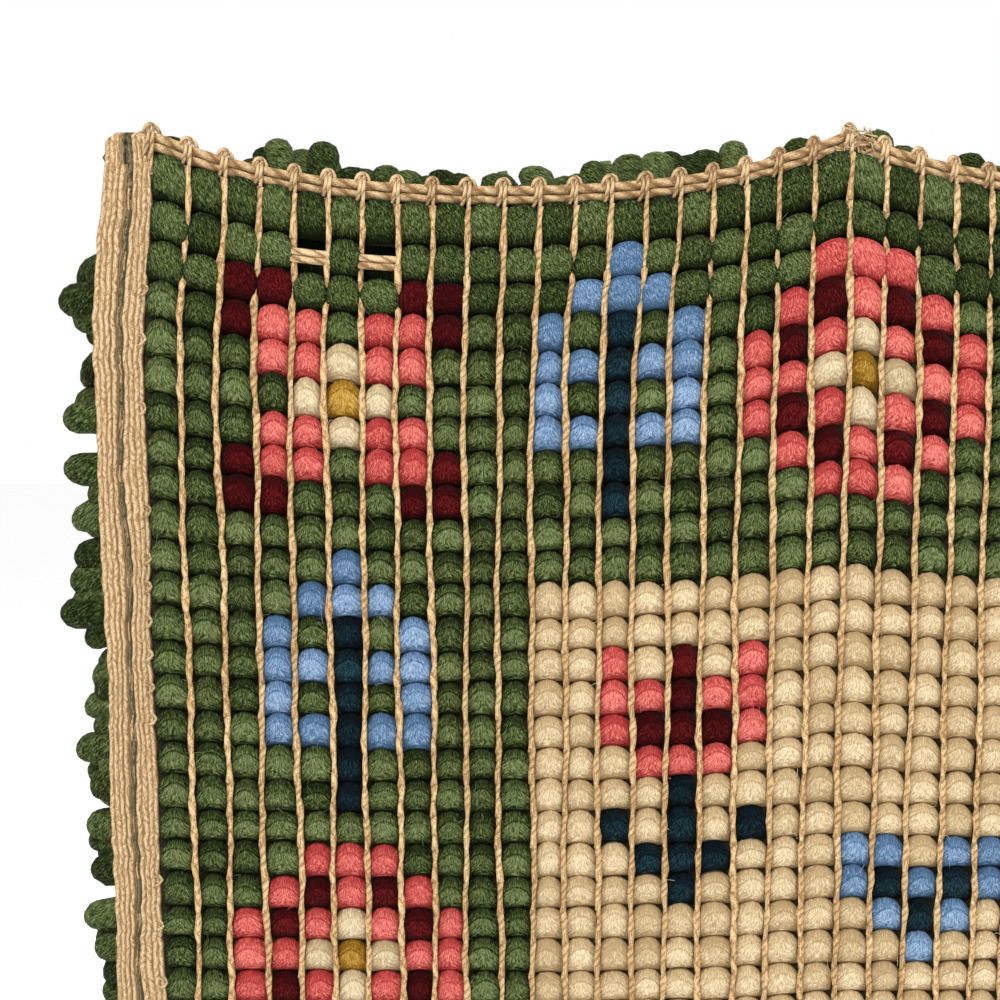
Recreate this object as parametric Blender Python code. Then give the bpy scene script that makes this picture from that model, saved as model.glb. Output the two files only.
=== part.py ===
"""Latch hook wall hanging, held by its top edge.

The knotted back of the rug canvas faces -Y and the shaggy pile faces +Y.
The origin is the middle of the top heading, midway between two pins, and +Z is up.
Places on the hanging are given by column and row of the canvas: column 0 is the inner
edge of the left selvedge, and row 0 is the top of the first row of knots.
"""

import math
import random

import bmesh
import bpy
from mathutils import Vector

# Rug canvas
INCH = 0.0254
HOLES_PER_INCH = 3.75
COLUMN_PITCH = INCH / HOLES_PER_INCH
ROW_PITCH = 0.00665
FIRST_ROW_EXTRA = 0.0016
COLUMNS = 60
ROWS = 80
BORDER_KNOTS = 11

# The way it hangs: pins lift the top edge, and the warps gather between them
PIN_COLUMNS = 20
PIN_LIFT = 0.0104
PEAK_POWER = 4.0
ARC_POWER = 1.8
LIFT_FADE_ROWS = 11.0
TOP_SETTLE = 0.0016
GATHER = 0.0008
DRIFT_FADE_ROWS = 3.0
SWAY = 0.0018
SWAY_COLUMNS = 46.0
SWAY_ROWS = 70.0

# Depths along Y, from the middle of the canvas
GAP = 0.0003
CANVAS_HALF = 0.0005
BAND_HALF = 0.0006
BAND_BACK = -0.0011
BAND_GROOVE = -0.00055
HEM_LAYER = 0.001
KNOT_BACK = -CANVAS_HALF - GAP
KNOT_GROOVE = -0.0018
KNOT_CREST = -0.0034
PILE_BACK = BAND_HALF + GAP

# Selvedges, hems and headings
SELVEDGE = 0.0095
HEM_ROWS = 3.6
HEM_EDGE_ROWS = 0.3
PILE_HEM_ROWS = 4.0
PILE_HEM_EDGE_ROWS = 1.0
HEADING_HALF = 0.00185
HEADING_DEPTH = 0.0014
LOOP_RISE = 0.0019
LOOP_HALF_COLUMNS = 0.28

# Pile
PILE_DEPTH = 0.0185
PILE_LUMP = 0.0022
LOCK_ROOT_DEPTH = 0.0078
SHOULDER_DEPTH = 0.0135
SHOULDER_INSET = 1.5
CROWN_INSET = 3.5
BACK_INSET = 0.5
PILE_SIDE_COLUMNS = 0.6
PILE_TOP_ROWS = 0.55
PILE_BOTTOM_ROWS = 0.5
LOCK_SIDE_REACH = 0.0108
LOCK_TOP_REACH = 0.0052
LOCK_BOTTOM_REACH = 0.0125
LOCK_REACH_SPREAD = 0.3
LOCK_DROOP = 0.0024
LOCK_WAIST = 0.78
LOCK_WAIST_SHARE = 0.66
LOCK_DRIFT = 0.0005
SEED = 41

# Columns of the coarse faces, as far as the middle; the border of knots ends on one of them
HALF_COLUMNS = (0.0, 4.0, 7.5, 11.0, 15.5, 20.0, 25.0, 30.0)
FINE_ROWS = 8
MIDDLE_ROWS = tuple(range(FINE_ROWS, ROWS, 8))
CANVAS_ROWS = (0, 2, 3.6, 3.9, *MIDDLE_ROWS, 76.1, 76.4, ROWS)
KNOT_BACK_ROWS = (0, 2, 4, *MIDDLE_ROWS, ROWS)
PILE_BACK_ROWS = (0, 4, 5, *MIDDLE_ROWS, 75, 76, ROWS)
PILE_BACK_COLUMNS = tuple(range(0, COLUMNS + 1, 5))

# Selvedge, from its outer edge inwards: how far in, and how deep its knotted side is
SELVEDGE_PROFILE = (
    (0.0, -0.0004),
    (0.0006, BAND_BACK),
    (0.0038, BAND_BACK),
    (0.0045, BAND_GROOVE),
    (0.0052, BAND_BACK),
    (0.0089, BAND_BACK),
    (SELVEDGE, -CANVAS_HALF),
)

# Sideways drift of the warps along the left half of the top edge: column, and metres to the right
TOP_DRIFT = (
    (0.0, 0.0030),
    (7.0, 0.0008),
    (14.0, 0.0021),
    (19.5, -0.0002),
    (24.0, -0.0008),
    (30.0, 0.0),
)

# Colours of the fibres, as linear red, green and blue
MOSS_WOOL = (0.055, 0.095, 0.030)
CREAM_WOOL = (0.63, 0.47, 0.26)
TAN_COTTON = (0.55, 0.37, 0.18)


def remove_old_objects():
    """Clears the scene of objects."""
    for old in list(bpy.data.objects):
        bpy.data.objects.remove(old, do_unlink=True)


def fibre(name, colour, roughness):
    """A plain matt fibre material."""
    material = bpy.data.materials.new(name)
    material.use_nodes = True
    shader = material.node_tree.nodes["Principled BSDF"]
    shader.inputs["Base Color"].default_value = (*colour, 1.0)
    shader.inputs["Roughness"].default_value = roughness
    shader.inputs["Metallic"].default_value = 0.0
    return material


# The hung shape
def eased(table, at):
    """Reads a table of (place, value) rows with a smooth curve between each two rows."""
    for (place, value), (next_place, next_value) in zip(table, table[1:]):
        if at <= next_place:
            share = min(max((at - place) / (next_place - place), 0.0), 1.0)
            ease = share * share * (3.0 - 2.0 * share)
            return value + (next_value - value) * ease
    return table[-1][1]


def pin_rise(column):
    """Share of the pins' lift: one at a pin, nought midway between two pins."""
    held = min(max(column, 0.0), float(COLUMNS))
    near = abs(2.0 * ((held / PIN_COLUMNS) % 1.0) - 1.0)
    return 0.5 * near**PEAK_POWER + 0.5 * near**ARC_POWER


def drift(column, row):
    """Sideways drift of a warp: gathered between pins, and more uneven in the first rows."""
    held = min(max(column, 0.0), float(COLUMNS))
    fade = math.exp(-((max(row, 0.0) / DRIFT_FADE_ROWS) ** 2))
    side = 1.0 if held <= COLUMNS / 2 else -1.0
    top = side * eased(TOP_DRIFT, min(held, COLUMNS - held))
    return GATHER * math.sin(2.0 * math.pi * held / PIN_COLUMNS) + fade * top


def sway(column, row):
    """Slow bow of the cloth towards and away from the wall, none of it at the top edge."""
    wave = math.sin(2.0 * math.pi * (column / SWAY_COLUMNS + row / SWAY_ROWS))
    return SWAY * wave * min(max(row, 0.0) / PIN_COLUMNS, 1.0)


def on_cloth(column, row, depth):
    """A point of the hanging, given by its column, row and depth along Y."""
    below = HEADING_HALF + GAP + ROW_PITCH * row + FIRST_ROW_EXTRA * min(max(row, 0.0), 1.0)
    held = math.exp(-max(row, 0.0) / LIFT_FADE_ROWS)
    lift = PIN_LIFT * pin_rise(column) * held + TOP_SETTLE * (1.0 - held)
    x = (column - COLUMNS / 2) * COLUMN_PITCH + drift(column, row)
    return (x, depth + sway(column, row), lift - below)


def hem_depth(row, full_rows, edge_rows):
    """Extra depth of the turned hem: full for some rows, then down to none over its edge."""
    from_edge = min(row, ROWS - row)
    share = (full_rows + edge_rows - from_edge) / edge_rows
    return HEM_LAYER * min(max(share, 0.0), 1.0)


# Lines of points and the faces between them
def both_halves(half, width):
    """Stations across the whole width from those of its left half."""
    return list(half) + [width - place for place in reversed(half[:-1])]


def with_midpoints(places):
    """The same stations with one more between each two."""
    finer = [places[0]]
    for place, next_place in zip(places, places[1:]):
        finer += [(place + next_place) / 2, next_place]
    return finer


def level(depth):
    """A rule that gives the same depth at every column and row."""
    return lambda column, row: depth


def line_across(bm, columns, row, depth_at):
    """A line of points along one row, as (column, point) pairs."""
    return [(c, bm.verts.new(on_cloth(c, row, depth_at(c, row)))) for c in columns]


def strip(bm, first, second):
    """Faces between two lines: one between each two stations that both lines have."""
    second_places = {round(place, 6) for place, _ in second}
    shared = [round(place, 6) for place, _ in first if round(place, 6) in second_places]
    for start, end in zip(shared, shared[1:]):
        out = [point for place, point in first if start <= round(place, 6) <= end]
        back = [point for place, point in second if start <= round(place, 6) <= end]
        bm.faces.new(out + back[::-1])


def side_of(lines, end):
    """The first or last points of lines across, as (row, point) pairs."""
    return [(row, line[end][1]) for row, line in lines]


def lay_face(bm, lines):
    """Faces between each two neighbouring lines."""
    for (_, line), (_, next_line) in zip(lines, lines[1:]):
        strip(bm, line, next_line)


def close_rim(bm, front, back):
    """Joins the rims of two faces that lie one behind the other."""
    strip(bm, front[0][1], back[0][1])
    strip(bm, front[-1][1], back[-1][1])
    strip(bm, side_of(front, 0), side_of(back, 0))
    strip(bm, side_of(front, -1), side_of(back, -1))


def finish(bm, name, materials, is_field=None):
    """Turns the mesh into an object with its faces pointing out."""
    bmesh.ops.recalc_face_normals(bm, faces=bm.faces)
    if is_field is not None:
        for face in bm.faces:
            face.material_index = int(is_field(face.calc_center_median()))
    mesh = bpy.data.meshes.new(name)
    bm.to_mesh(mesh)
    bm.free()
    for material in materials:
        mesh.materials.append(material)
    mesh.shade_flat()
    piece = bpy.data.objects.new(name, mesh)
    bpy.context.scene.collection.objects.link(piece)
    return piece


def in_field(centre):
    """Whether a point lies inside the border of knots."""
    border_width = (COLUMNS / 2 - BORDER_KNOTS) * COLUMN_PITCH
    top = -ROW_PITCH * BORDER_KNOTS - FIRST_ROW_EXTRA
    bottom = -ROW_PITCH * (ROWS - BORDER_KNOTS) - FIRST_ROW_EXTRA - HEADING_HALF
    return abs(centre.x) < border_width and bottom < centre.z < top


# Canvas
def canvas_knotted_side(column, row):
    """Depth of the canvas on its knotted side: the woven bands stand proud of the ground."""
    inwards = SELVEDGE + min(column, COLUMNS - column) * COLUMN_PITCH
    return eased(SELVEDGE_PROFILE, inwards)


def canvas_pile_side(column, row):
    """Depth of the canvas on its pile side, with the turned hems at top and bottom."""
    ground = BAND_HALF if column < 0 or column > COLUMNS else CANVAS_HALF
    return ground + hem_depth(row, HEM_ROWS, HEM_EDGE_ROWS)


def canvas_lines(bm, depth_at):
    """Lines across the canvas; the selvedges reach up beside the headings."""
    ground = both_halves(HALF_COLUMNS, COLUMNS)
    band = [(inwards - SELVEDGE) / COLUMN_PITCH for inwards, _ in SELVEDGE_PROFILE[:-1]]
    far_band = [COLUMNS - place for place in reversed(band)]
    heading_rows = 2 * HEADING_HALF / ROW_PITCH
    lines = []
    for row in CANVAS_ROWS:
        edge = row in (CANVAS_ROWS[0], CANVAS_ROWS[-1])
        across = with_midpoints(ground) if row == CANVAS_ROWS[0] else ground
        outward = (-heading_rows if row == 0 else heading_rows) if edge else 0.0
        left = line_across(bm, band, row + outward, depth_at)
        middle = line_across(bm, across, row, depth_at)
        right = line_across(bm, far_band, row + outward, depth_at)
        lines.append((row, left + middle + right))
    return lines


def build_canvas(material):
    """Rug canvas with its woven selvedges and its turned hems, one sheet."""
    bm = bmesh.new()
    knotted = canvas_lines(bm, canvas_knotted_side)
    pile_side = canvas_lines(bm, canvas_pile_side)
    lay_face(bm, knotted)
    lay_face(bm, pile_side)
    close_rim(bm, knotted, pile_side)
    return finish(bm, "canvas", [material])


# Rows of knots
def knot_columns(places):
    """The same stations, with the two outer ones a gap inside the selvedges."""
    inset = GAP / COLUMN_PITCH
    return [inset] + list(places[1:-1]) + [COLUMNS - inset]


def build_knot_rows(materials):
    """The knotted side: each row of knots is a rounded rib across the canvas."""
    bm = bmesh.new()
    coarse = knot_columns(both_halves(HALF_COLUMNS, COLUMNS))
    fine = knot_columns(with_midpoints(both_halves(HALF_COLUMNS, COLUMNS)))
    inset = GAP / ROW_PITCH
    ribs = []
    for half_row in range(2 * ROWS + 1):
        row = min(max(half_row / 2, inset), ROWS - inset)
        depth = KNOT_CREST if half_row % 2 else KNOT_GROOVE
        columns = fine if row <= FINE_ROWS else coarse
        ribs.append((row, line_across(bm, columns, row, level(depth))))
    back = []
    for place in KNOT_BACK_ROWS:
        row = min(max(place, inset), ROWS - inset)
        columns = fine if row <= FINE_ROWS else coarse
        back.append((row, line_across(bm, columns, row, level(KNOT_BACK))))
    lay_face(bm, ribs)
    lay_face(bm, back)
    close_rim(bm, ribs, back)
    return finish(bm, "knot_rows", materials, in_field)


# Headings
def loop_stations():
    """Columns along a heading with the rise of its loops: each warp turns round the threads."""
    inset = GAP / COLUMN_PITCH
    stations = [(inset, 0.0)]
    for warp in range(1, COLUMNS):
        stations.append((warp - LOOP_HALF_COLUMNS, 0.0))
        stations.append((float(warp), LOOP_RISE))
        stations.append((warp + LOOP_HALF_COLUMNS, 0.0))
    stations.append((COLUMNS - inset, 0.0))
    return stations


def build_heading(name, row, outward, material):
    """The threads that lie in the fold of a hem, with a loop over them at every warp.

    outward is 1 where the loops point up, and -1 where they point down.
    """
    bm = bmesh.new()
    centre_row = row - outward * (HEADING_HALF + GAP) / ROW_PITCH
    plain = knot_columns([float(warp) for warp in range(0, COLUMNS + 1, 2)])

    def point(column, depth, across):
        x, y, z = on_cloth(column, centre_row, depth)
        return bm.verts.new((x, y, z + outward * across))

    def looped(depth, share):
        return [(c, point(c, depth, HEADING_HALF + share * rise)) for c, rise in loop_stations()]

    def straight(depth, across):
        return [(c, point(c, depth, across)) for c in plain]

    lines = [
        looped(HEADING_DEPTH * 0.6, 0.7),
        looped(-HEADING_DEPTH * 0.6, 1.0),
        straight(-HEADING_DEPTH, 0.0),
        straight(-HEADING_DEPTH * 0.6, -HEADING_HALF),
        straight(HEADING_DEPTH * 0.6, -HEADING_HALF),
        straight(HEADING_DEPTH, 0.0),
    ]
    for line, next_line in zip(lines, lines[1:] + lines[:1]):
        strip(bm, line, next_line)
    for end in (0, -1):
        bm.faces.new([line[end][1] for line in lines])
    return finish(bm, name, [material])


# Pile
def pile_back(column, row):
    """Depth of the pile's inner face, which clears the canvas and its hems."""
    return PILE_BACK + hem_depth(row, PILE_HEM_ROWS, PILE_HEM_EDGE_ROWS)


def lump(column, row):
    """Uneven height of the pile at one place, the same each time."""
    return PILE_LUMP * random.Random(round(column * ROWS + row)).uniform(-1.0, 1.0)


def pile_front(column, row):
    """Depth of the pile's outer face: full in the middle, rounded down to its shoulders."""
    side = min(column, COLUMNS - column)
    end = min(row, ROWS - row)
    share = min(min(side, end) / CROWN_INSET, 1.0)
    crown = SHOULDER_DEPTH + (PILE_DEPTH - SHOULDER_DEPTH) * math.sqrt(share)
    return crown + lump(column, row)


def rim_line(bm, places, point_at, start, end):
    """A dense line of points along one side of the pile's rim, which shares its corners."""
    inner = [(place, bm.verts.new(point_at(place))) for place in places[1:-1]]
    return [(places[0], start)] + inner + [(places[-1], end)]


def rim_loop(bm, depth_at):
    """The four sides of the pile's rim, as lines by row or column."""
    left, right = -PILE_SIDE_COLUMNS, COLUMNS + PILE_SIDE_COLUMNS
    top, bottom = -PILE_TOP_ROWS, ROWS + PILE_BOTTOM_ROWS
    corner = {
        (c, r): bm.verts.new(on_cloth(c, r, depth_at(c, r)))
        for c in (left, right)
        for r in (top, bottom)
    }
    rows = [float(row) for row in range(ROWS + 1)]
    columns = [float(column) for column in range(COLUMNS + 1)]

    def down(column):
        at = lambda row: on_cloth(column, row, depth_at(column, row))
        return rim_line(bm, rows, at, corner[column, top], corner[column, bottom])

    def across(row):
        at = lambda column: on_cloth(column, row, depth_at(column, row))
        return rim_line(bm, columns, at, corner[left, row], corner[right, row])

    return {"left": down(left), "right": down(right), "top": across(top), "bottom": across(bottom)}


def inset_lines(bm, columns, rows, inset, depth_at):
    """Lines across one face of the pile, its outer points drawn in from the rim by inset."""
    lines = []
    for row in rows:
        inner_row = min(max(row, inset), ROWS - inset)
        line = []
        for column in columns:
            inner = min(max(column, inset), COLUMNS - inset)
            point = on_cloth(inner, inner_row, depth_at(inner, inner_row))
            line.append((float(column), bm.verts.new(point)))
        lines.append((float(row), line))
    return lines


def lay_on_rim(bm, rim, lines):
    """Faces between the lines of one face of the pile, and out to its rim."""
    lay_face(bm, lines)
    strip(bm, rim["top"], lines[0][1])
    strip(bm, rim["bottom"], lines[-1][1])
    strip(bm, rim["left"], side_of(lines, 0))
    strip(bm, rim["right"], side_of(lines, -1))


def grow_lock(bm, root, reach, droop, rng):
    """Draws one root face out into a tapered lock of yarn."""
    centre = root.calc_center_median()
    cap = bmesh.ops.extrude_discrete_faces(bm, faces=[root])["faces"][0]
    waist = centre + reach * LOCK_WAIST_SHARE
    waist.z -= droop * LOCK_WAIST_SHARE ** 2
    for vert in cap.verts:
        vert.co = waist + (vert.co - centre) * LOCK_WAIST
    tip = bmesh.ops.poke(bm, faces=[cap])["verts"][0]
    tip.co = centre + reach
    tip.co.z -= droop
    tip.co.y += rng.uniform(-1.0, 1.0) * LOCK_DRIFT
    tip.co.x += rng.uniform(-1.0, 1.0) * LOCK_DRIFT


def build_locks(bm, upper, inner, outward, reach, droop, rng):
    """A lock between each two neighbouring points of one side of the rim."""
    for (first, first_back), (second, second_back) in zip(zip(upper, inner), zip(upper[1:], inner[1:])):
        root = bm.faces.new([first[1], second[1], second_back[1], first_back[1]])
        root.normal_update()
        if root.normal.dot(outward) < 0.0:
            root.normal_flip()
        length = reach * (1.0 + rng.uniform(-1.0, 1.0) * LOCK_REACH_SPREAD)
        grow_lock(bm, root, outward * length, droop, rng)


def build_pile(materials):
    """The shag: a lumpy slab of cut yarn with a lock for every knot round its rim."""
    bm = bmesh.new()
    rng = random.Random(SEED)
    shoulder = rim_loop(bm, level(LOCK_ROOT_DEPTH))
    inner = rim_loop(bm, pile_back)
    front = inset_lines(bm, range(0, COLUMNS + 1, 3), range(0, ROWS + 1, 4), SHOULDER_INSET, pile_front)
    back = inset_lines(bm, PILE_BACK_COLUMNS, PILE_BACK_ROWS, BACK_INSET, pile_back)
    lay_on_rim(bm, shoulder, front)
    lay_on_rim(bm, inner, back)
    sides = (
        ("left", Vector((-1.0, 0.0, 0.0)), LOCK_SIDE_REACH, LOCK_DROOP),
        ("right", Vector((1.0, 0.0, 0.0)), LOCK_SIDE_REACH, LOCK_DROOP),
        ("top", Vector((0.0, 0.0, 1.0)), LOCK_TOP_REACH, 0.0),
        ("bottom", Vector((0.0, 0.0, -1.0)), LOCK_BOTTOM_REACH, 0.0),
    )
    for side, outward, reach, droop in sides:
        build_locks(bm, shoulder[side], inner[side], outward, reach, droop, rng)
    return finish(bm, "pile", materials, in_field)


def main():
    """Builds the hanging, one object for each of its pieces."""
    remove_old_objects()
    cotton = fibre("tan_cotton", TAN_COTTON, 0.85)
    moss = fibre("moss_wool", MOSS_WOOL, 0.9)
    cream = fibre("cream_wool", CREAM_WOOL, 0.9)
    build_canvas(cotton)
    build_heading("heading_top", 0.0, 1, cotton)
    build_heading("heading_bottom", float(ROWS), -1, cotton)
    build_knot_rows([moss, cream])
    build_pile([moss, cream])


main()
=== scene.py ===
"""Looks of a latch hook wall hanging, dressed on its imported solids.

The knotted back of the rug canvas faces -Y and the shaggy pile faces +Y, in metres, with +Z up.
Places on the hanging are given by column and row of the canvas, as in the part's source: column 0
is the inner edge of the left selvedge, and row 0 is the top of the first row of knots.
"""

import logging
import math
from collections.abc import Callable
from dataclasses import dataclass, field
from enum import Enum

import bpy
import numpy as np
from mathutils import Euler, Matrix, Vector


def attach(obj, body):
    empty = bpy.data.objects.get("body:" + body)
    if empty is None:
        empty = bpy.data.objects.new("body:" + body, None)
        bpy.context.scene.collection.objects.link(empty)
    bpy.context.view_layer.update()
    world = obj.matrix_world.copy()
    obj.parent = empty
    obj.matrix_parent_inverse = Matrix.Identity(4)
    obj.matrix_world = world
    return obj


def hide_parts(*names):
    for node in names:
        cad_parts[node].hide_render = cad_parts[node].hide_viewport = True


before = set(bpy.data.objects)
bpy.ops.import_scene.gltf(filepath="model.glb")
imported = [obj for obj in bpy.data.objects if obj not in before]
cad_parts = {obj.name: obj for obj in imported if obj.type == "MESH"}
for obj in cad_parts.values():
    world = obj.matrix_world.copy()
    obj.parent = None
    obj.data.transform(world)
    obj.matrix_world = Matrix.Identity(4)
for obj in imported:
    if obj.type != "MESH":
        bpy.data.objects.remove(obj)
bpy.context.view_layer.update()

LOG = logging.getLogger("wall hanging")
BODY = "root"
SEED = 7
MM_PER_M = 1000.0
# How far the fibre maps of knots and strands are moved, so that no two show the same fibres
MAP_SHIFT = 900.0
# Lowest and highest tone of a whole knot or thread
TONES = (0.4, 0.6)
# Length of one turn of ply in a weft thread and in a warp thread, in metres
WEFT_LAY = 0.0042
WARP_LAY = 0.0025


class Yarn(Enum):
    """The yarns of the chart, each by its letter there."""

    MOSS = "."
    CREAM = "-"
    CORAL = "p"
    MAROON = "m"
    SKY = "b"
    TEAL = "t"
    MUSTARD = "y"
    IVORY = "w"


# Charts of plain motifs, a letter for each knot; a space leaves the ground as it is
CROSS_FLOWER = (
    "mm   mm",
    "mpp ppm",
    " ppwpp ",
    "  wyw  ",
    " ppwpp ",
    "mpp ppm",
    "mm   mm",
)
ROSETTE = (
    "  ppp  ",
    " pmpmp ",
    "pmpwpmp",
    "ppwywpp",
    "pmpwpmp",
    " pmpmp ",
    "  ppp  ",
)
LEAFY_STEM = (
    "  b  ",
    " bbb ",
    "b t b",
    "bbtbb",
    "b t b",
    "bbtbb",
    "  t  ",
    "  t  ",
)
TULIP = (
    "p m p",
    "ppmpp",
    "pmmmp",
    " ppp ",
    "  t  ",
    "t t t",
    " ttt ",
    "  t  ",
)
DIAMOND = (
    "  m  ",
    " mpm ",
    "mpypm",
    " mpm ",
    "  m  ",
)
HEART_LEAF = (
    "bb bb",
    "btbtb",
    " btb ",
    "  b  ",
)
LARGE_ROSETTE = (
    "   mmm   ",
    "  mpppm  ",
    " mppmppm ",
    "mppmwmppm",
    "mpmwywmpm",
    "mppmwmppm",
    " mppmppm ",
    "  mpppm  ",
    "   mmm   ",
)

# Where each motif lies: chart, first column, first row. These are repeated in all four corners
CORNER_MOTIFS = (
    (CROSS_FLOWER, 2, 2),
    (LEAFY_STEM, 11, 1),
    (ROSETTE, 17, 2),
    (DIAMOND, 25, 3),
    (LEAFY_STEM, 3, 10),
    (ROSETTE, 2, 19),
    (TULIP, 3, 27),
    (DIAMOND, 3, 35),
    (TULIP, 13, 13),
    (HEART_LEAF, 20, 19),
    (DIAMOND, 25, 14),
    (LARGE_ROSETTE, 16, 26),
)
# This one lies on the middle line, once
CENTRE_MOTIFS = ((LARGE_ROSETTE, 26, 35),)


@dataclass(frozen=True)
class HungCloth:
    """The way the canvas hangs, which turns a column, row and depth into a point."""

    column_pitch: float = 0.0254 / 3.75
    row_pitch: float = 0.00665
    first_row_extra: float = 0.0016
    columns: int = 60
    rows: int = 80
    border: int = 11
    heading_half: float = 0.00185
    gap: float = 0.0003
    selvedge: float = 0.0095
    pin_columns: float = 20.0
    pin_lift: float = 0.0104
    peak_power: float = 4.0
    arc_power: float = 1.8
    lift_fade_rows: float = 11.0
    top_settle: float = 0.0016
    settle_rows: float = 2.0
    gather: float = 0.0008
    drift_fade_rows: float = 3.0
    sway_size: float = 0.0018
    sway_columns: float = 46.0
    sway_rows: float = 70.0
    wander: float = 0.0002
    aside_rates: tuple = ((1.9, 0.31), (2.7, 0.83))
    down_rates: tuple = ((0.23, 1.7), (0.71, 2.3))
    top_drift_columns: tuple = (0.0, 7.0, 14.0, 19.5, 24.0, 30.0)
    top_drift: tuple = (0.0030, 0.0008, 0.0021, -0.0002, -0.0008, 0.0)

    @property
    def row_mm(self) -> float:
        """Height of a row in millimetres, as the fibre maps have it."""
        return round(self.row_pitch * MM_PER_M, 3)

    def heading_row(self, outward: int) -> float:
        """Row of a heading's centre line: outward is 1 for the top one and -1 for the bottom one."""
        edge = 0.0 if outward > 0 else float(self.rows)
        return edge - outward * (self.heading_half + self.gap) / self.row_pitch

    def _top_drift(self, held: np.ndarray) -> np.ndarray:
        """Sideways drift of the warps at the top edge, eased between the stations.

        Args:
            held: Places across the canvas, in columns.

        Returns:
            The drift at each place, in metres.
        """
        from_side = np.minimum(held, self.columns - held)
        stations = np.array(self.top_drift_columns)
        values = np.array(self.top_drift)
        left = np.clip(np.searchsorted(stations, from_side, side="right") - 1, 0, len(stations) - 2)
        share = (from_side - stations[left]) / (stations[left + 1] - stations[left])
        ease = share * share * (3.0 - 2.0 * share)
        side = np.where(held <= self.columns / 2, 1.0, -1.0)
        return side * (values[left] + (values[left + 1] - values[left]) * ease)

    def _wandered(self, columns: np.ndarray, rows: np.ndarray, rates: tuple) -> np.ndarray:
        """Small uneven shift of each place, the sum of two slanting waves."""
        first, second = (np.sin(columns * across + rows * down) for across, down in rates)
        return self.wander * (first + second)

    def place(self, columns: np.ndarray, rows: np.ndarray, depths: np.ndarray) -> np.ndarray:
        """Points of the hanging.

        Args:
            columns: Places across, in columns of knots.
            rows: Places down, in rows of knots.
            depths: Depths along Y from the middle of the canvas, in metres.

        Returns:
            An array of points, one row of x, y and z for each place.
        """
        columns, rows, depths = np.broadcast_arrays(columns, rows, depths)
        held = np.clip(columns, 0.0, self.columns)
        under = np.maximum(rows, 0.0)
        fade = np.exp(-((under / self.drift_fade_rows) ** 2))
        drift = self.gather * np.sin(2.0 * np.pi * held / self.pin_columns)
        drift = drift + fade * self._top_drift(held)
        near = np.abs(2.0 * ((held / self.pin_columns) % 1.0) - 1.0)
        rise = 0.5 * near**self.peak_power + 0.5 * near**self.arc_power
        hold = np.exp(-under / self.lift_fade_rows)
        lift = self.pin_lift * rise * hold + self.top_settle * (1.0 - hold)
        wave = np.sin(2.0 * np.pi * (columns / self.sway_columns + rows / self.sway_rows))
        sway = self.sway_size * wave * np.minimum(under / self.pin_columns, 1.0)
        below = self.heading_half + self.gap + self.row_pitch * rows
        below = below + self.first_row_extra * np.minimum(under, 1.0)
        settled = np.minimum(under / self.settle_rows, 1.0)
        aside = self._wandered(columns, rows, self.aside_rates)
        down = self._wandered(columns, rows, self.down_rates)
        x = (columns - self.columns / 2) * self.column_pitch + drift + aside * settled
        return np.stack([x, depths + sway, lift - below + down * settled], axis=-1)


@dataclass(frozen=True)
class Chart:
    """The chart of knots: the yarn of every knot of the hanging."""

    cloth: HungCloth
    missing: tuple = ((4, 1), (6, 1))

    def letters(self) -> np.ndarray:
        """The chart as an array of letters, by row and column.

        Returns:
            The letters, with a space where a knot is missing.
        """
        cloth = self.cloth
        grid = np.full((cloth.rows, cloth.columns), Yarn.MOSS.value)
        inner = slice(cloth.border, -cloth.border)
        grid[inner, inner] = Yarn.CREAM.value
        for motif, column, row in CORNER_MOTIFS:
            for mirrored in (False, True):
                for flipped in (False, True):
                    self._draw(grid, motif, column, row, mirrored, flipped)
        for motif, column, row in CENTRE_MOTIFS:
            self._draw(grid, motif, column, row, False, False)
        for column, row in self.missing:
            grid[row, column] = " "
        return grid

    def _draw(
        self,
        grid: np.ndarray,
        motif: tuple,
        column: int,
        row: int,
        mirrored: bool,
        flipped: bool,
    ) -> None:
        """Draws one motif on the chart.

        Args:
            grid: The chart, by row and column.
            motif: The motif's own lines of letters.
            column: Its first column.
            row: Its first row.
            mirrored: Whether it is mirrored to the right side.
            flipped: Whether it is flipped to the bottom.
        """
        for down, line in enumerate(motif):
            for across, letter in enumerate(line):
                if letter == " ":
                    continue
                c = self.cloth.columns - 1 - column - across if mirrored else column + across
                r = self.cloth.rows - 1 - row - down if flipped else row + down
                grid[r, c] = letter

    def cells(self, yarn: Yarn) -> tuple[np.ndarray, np.ndarray]:
        """Columns and rows of all knots of one yarn."""
        rows, columns = np.nonzero(self.letters() == yarn.value)
        return columns.astype(float), rows.astype(float)


@dataclass
class Shape:
    """A small modelled shape as arrays, ready to be copied many times."""

    points: np.ndarray
    corners: np.ndarray
    sizes: np.ndarray

    @staticmethod
    def of(piece: bpy.types.Object) -> "Shape":
        """Reads the mesh of a modelled piece, and removes the piece.

        Args:
            piece: The piece that was modelled.

        Returns:
            Its points and faces.
        """
        mesh = piece.data
        points = np.empty(len(mesh.vertices) * 3)
        mesh.vertices.foreach_get("co", points)
        corners = np.empty(len(mesh.loops), dtype=np.int64)
        mesh.loops.foreach_get("vertex_index", corners)
        sizes = np.empty(len(mesh.polygons), dtype=np.int64)
        mesh.polygons.foreach_get("loop_total", sizes)
        bpy.data.objects.remove(piece, do_unlink=True)
        bpy.data.meshes.remove(mesh)
        return Shape(points.reshape(-1, 3), corners, sizes)

    def copied(self, count: int) -> tuple[np.ndarray, np.ndarray]:
        """Corners and face sizes of many copies that follow each other.

        Args:
            count: Number of copies.

        Returns:
            The corners of all faces, and the number of corners of each face.
        """
        steps = np.arange(count) * len(self.points)
        corners = (steps[:, None] + self.corners[None, :]).ravel()
        return corners, np.tile(self.sizes, count)


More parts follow.
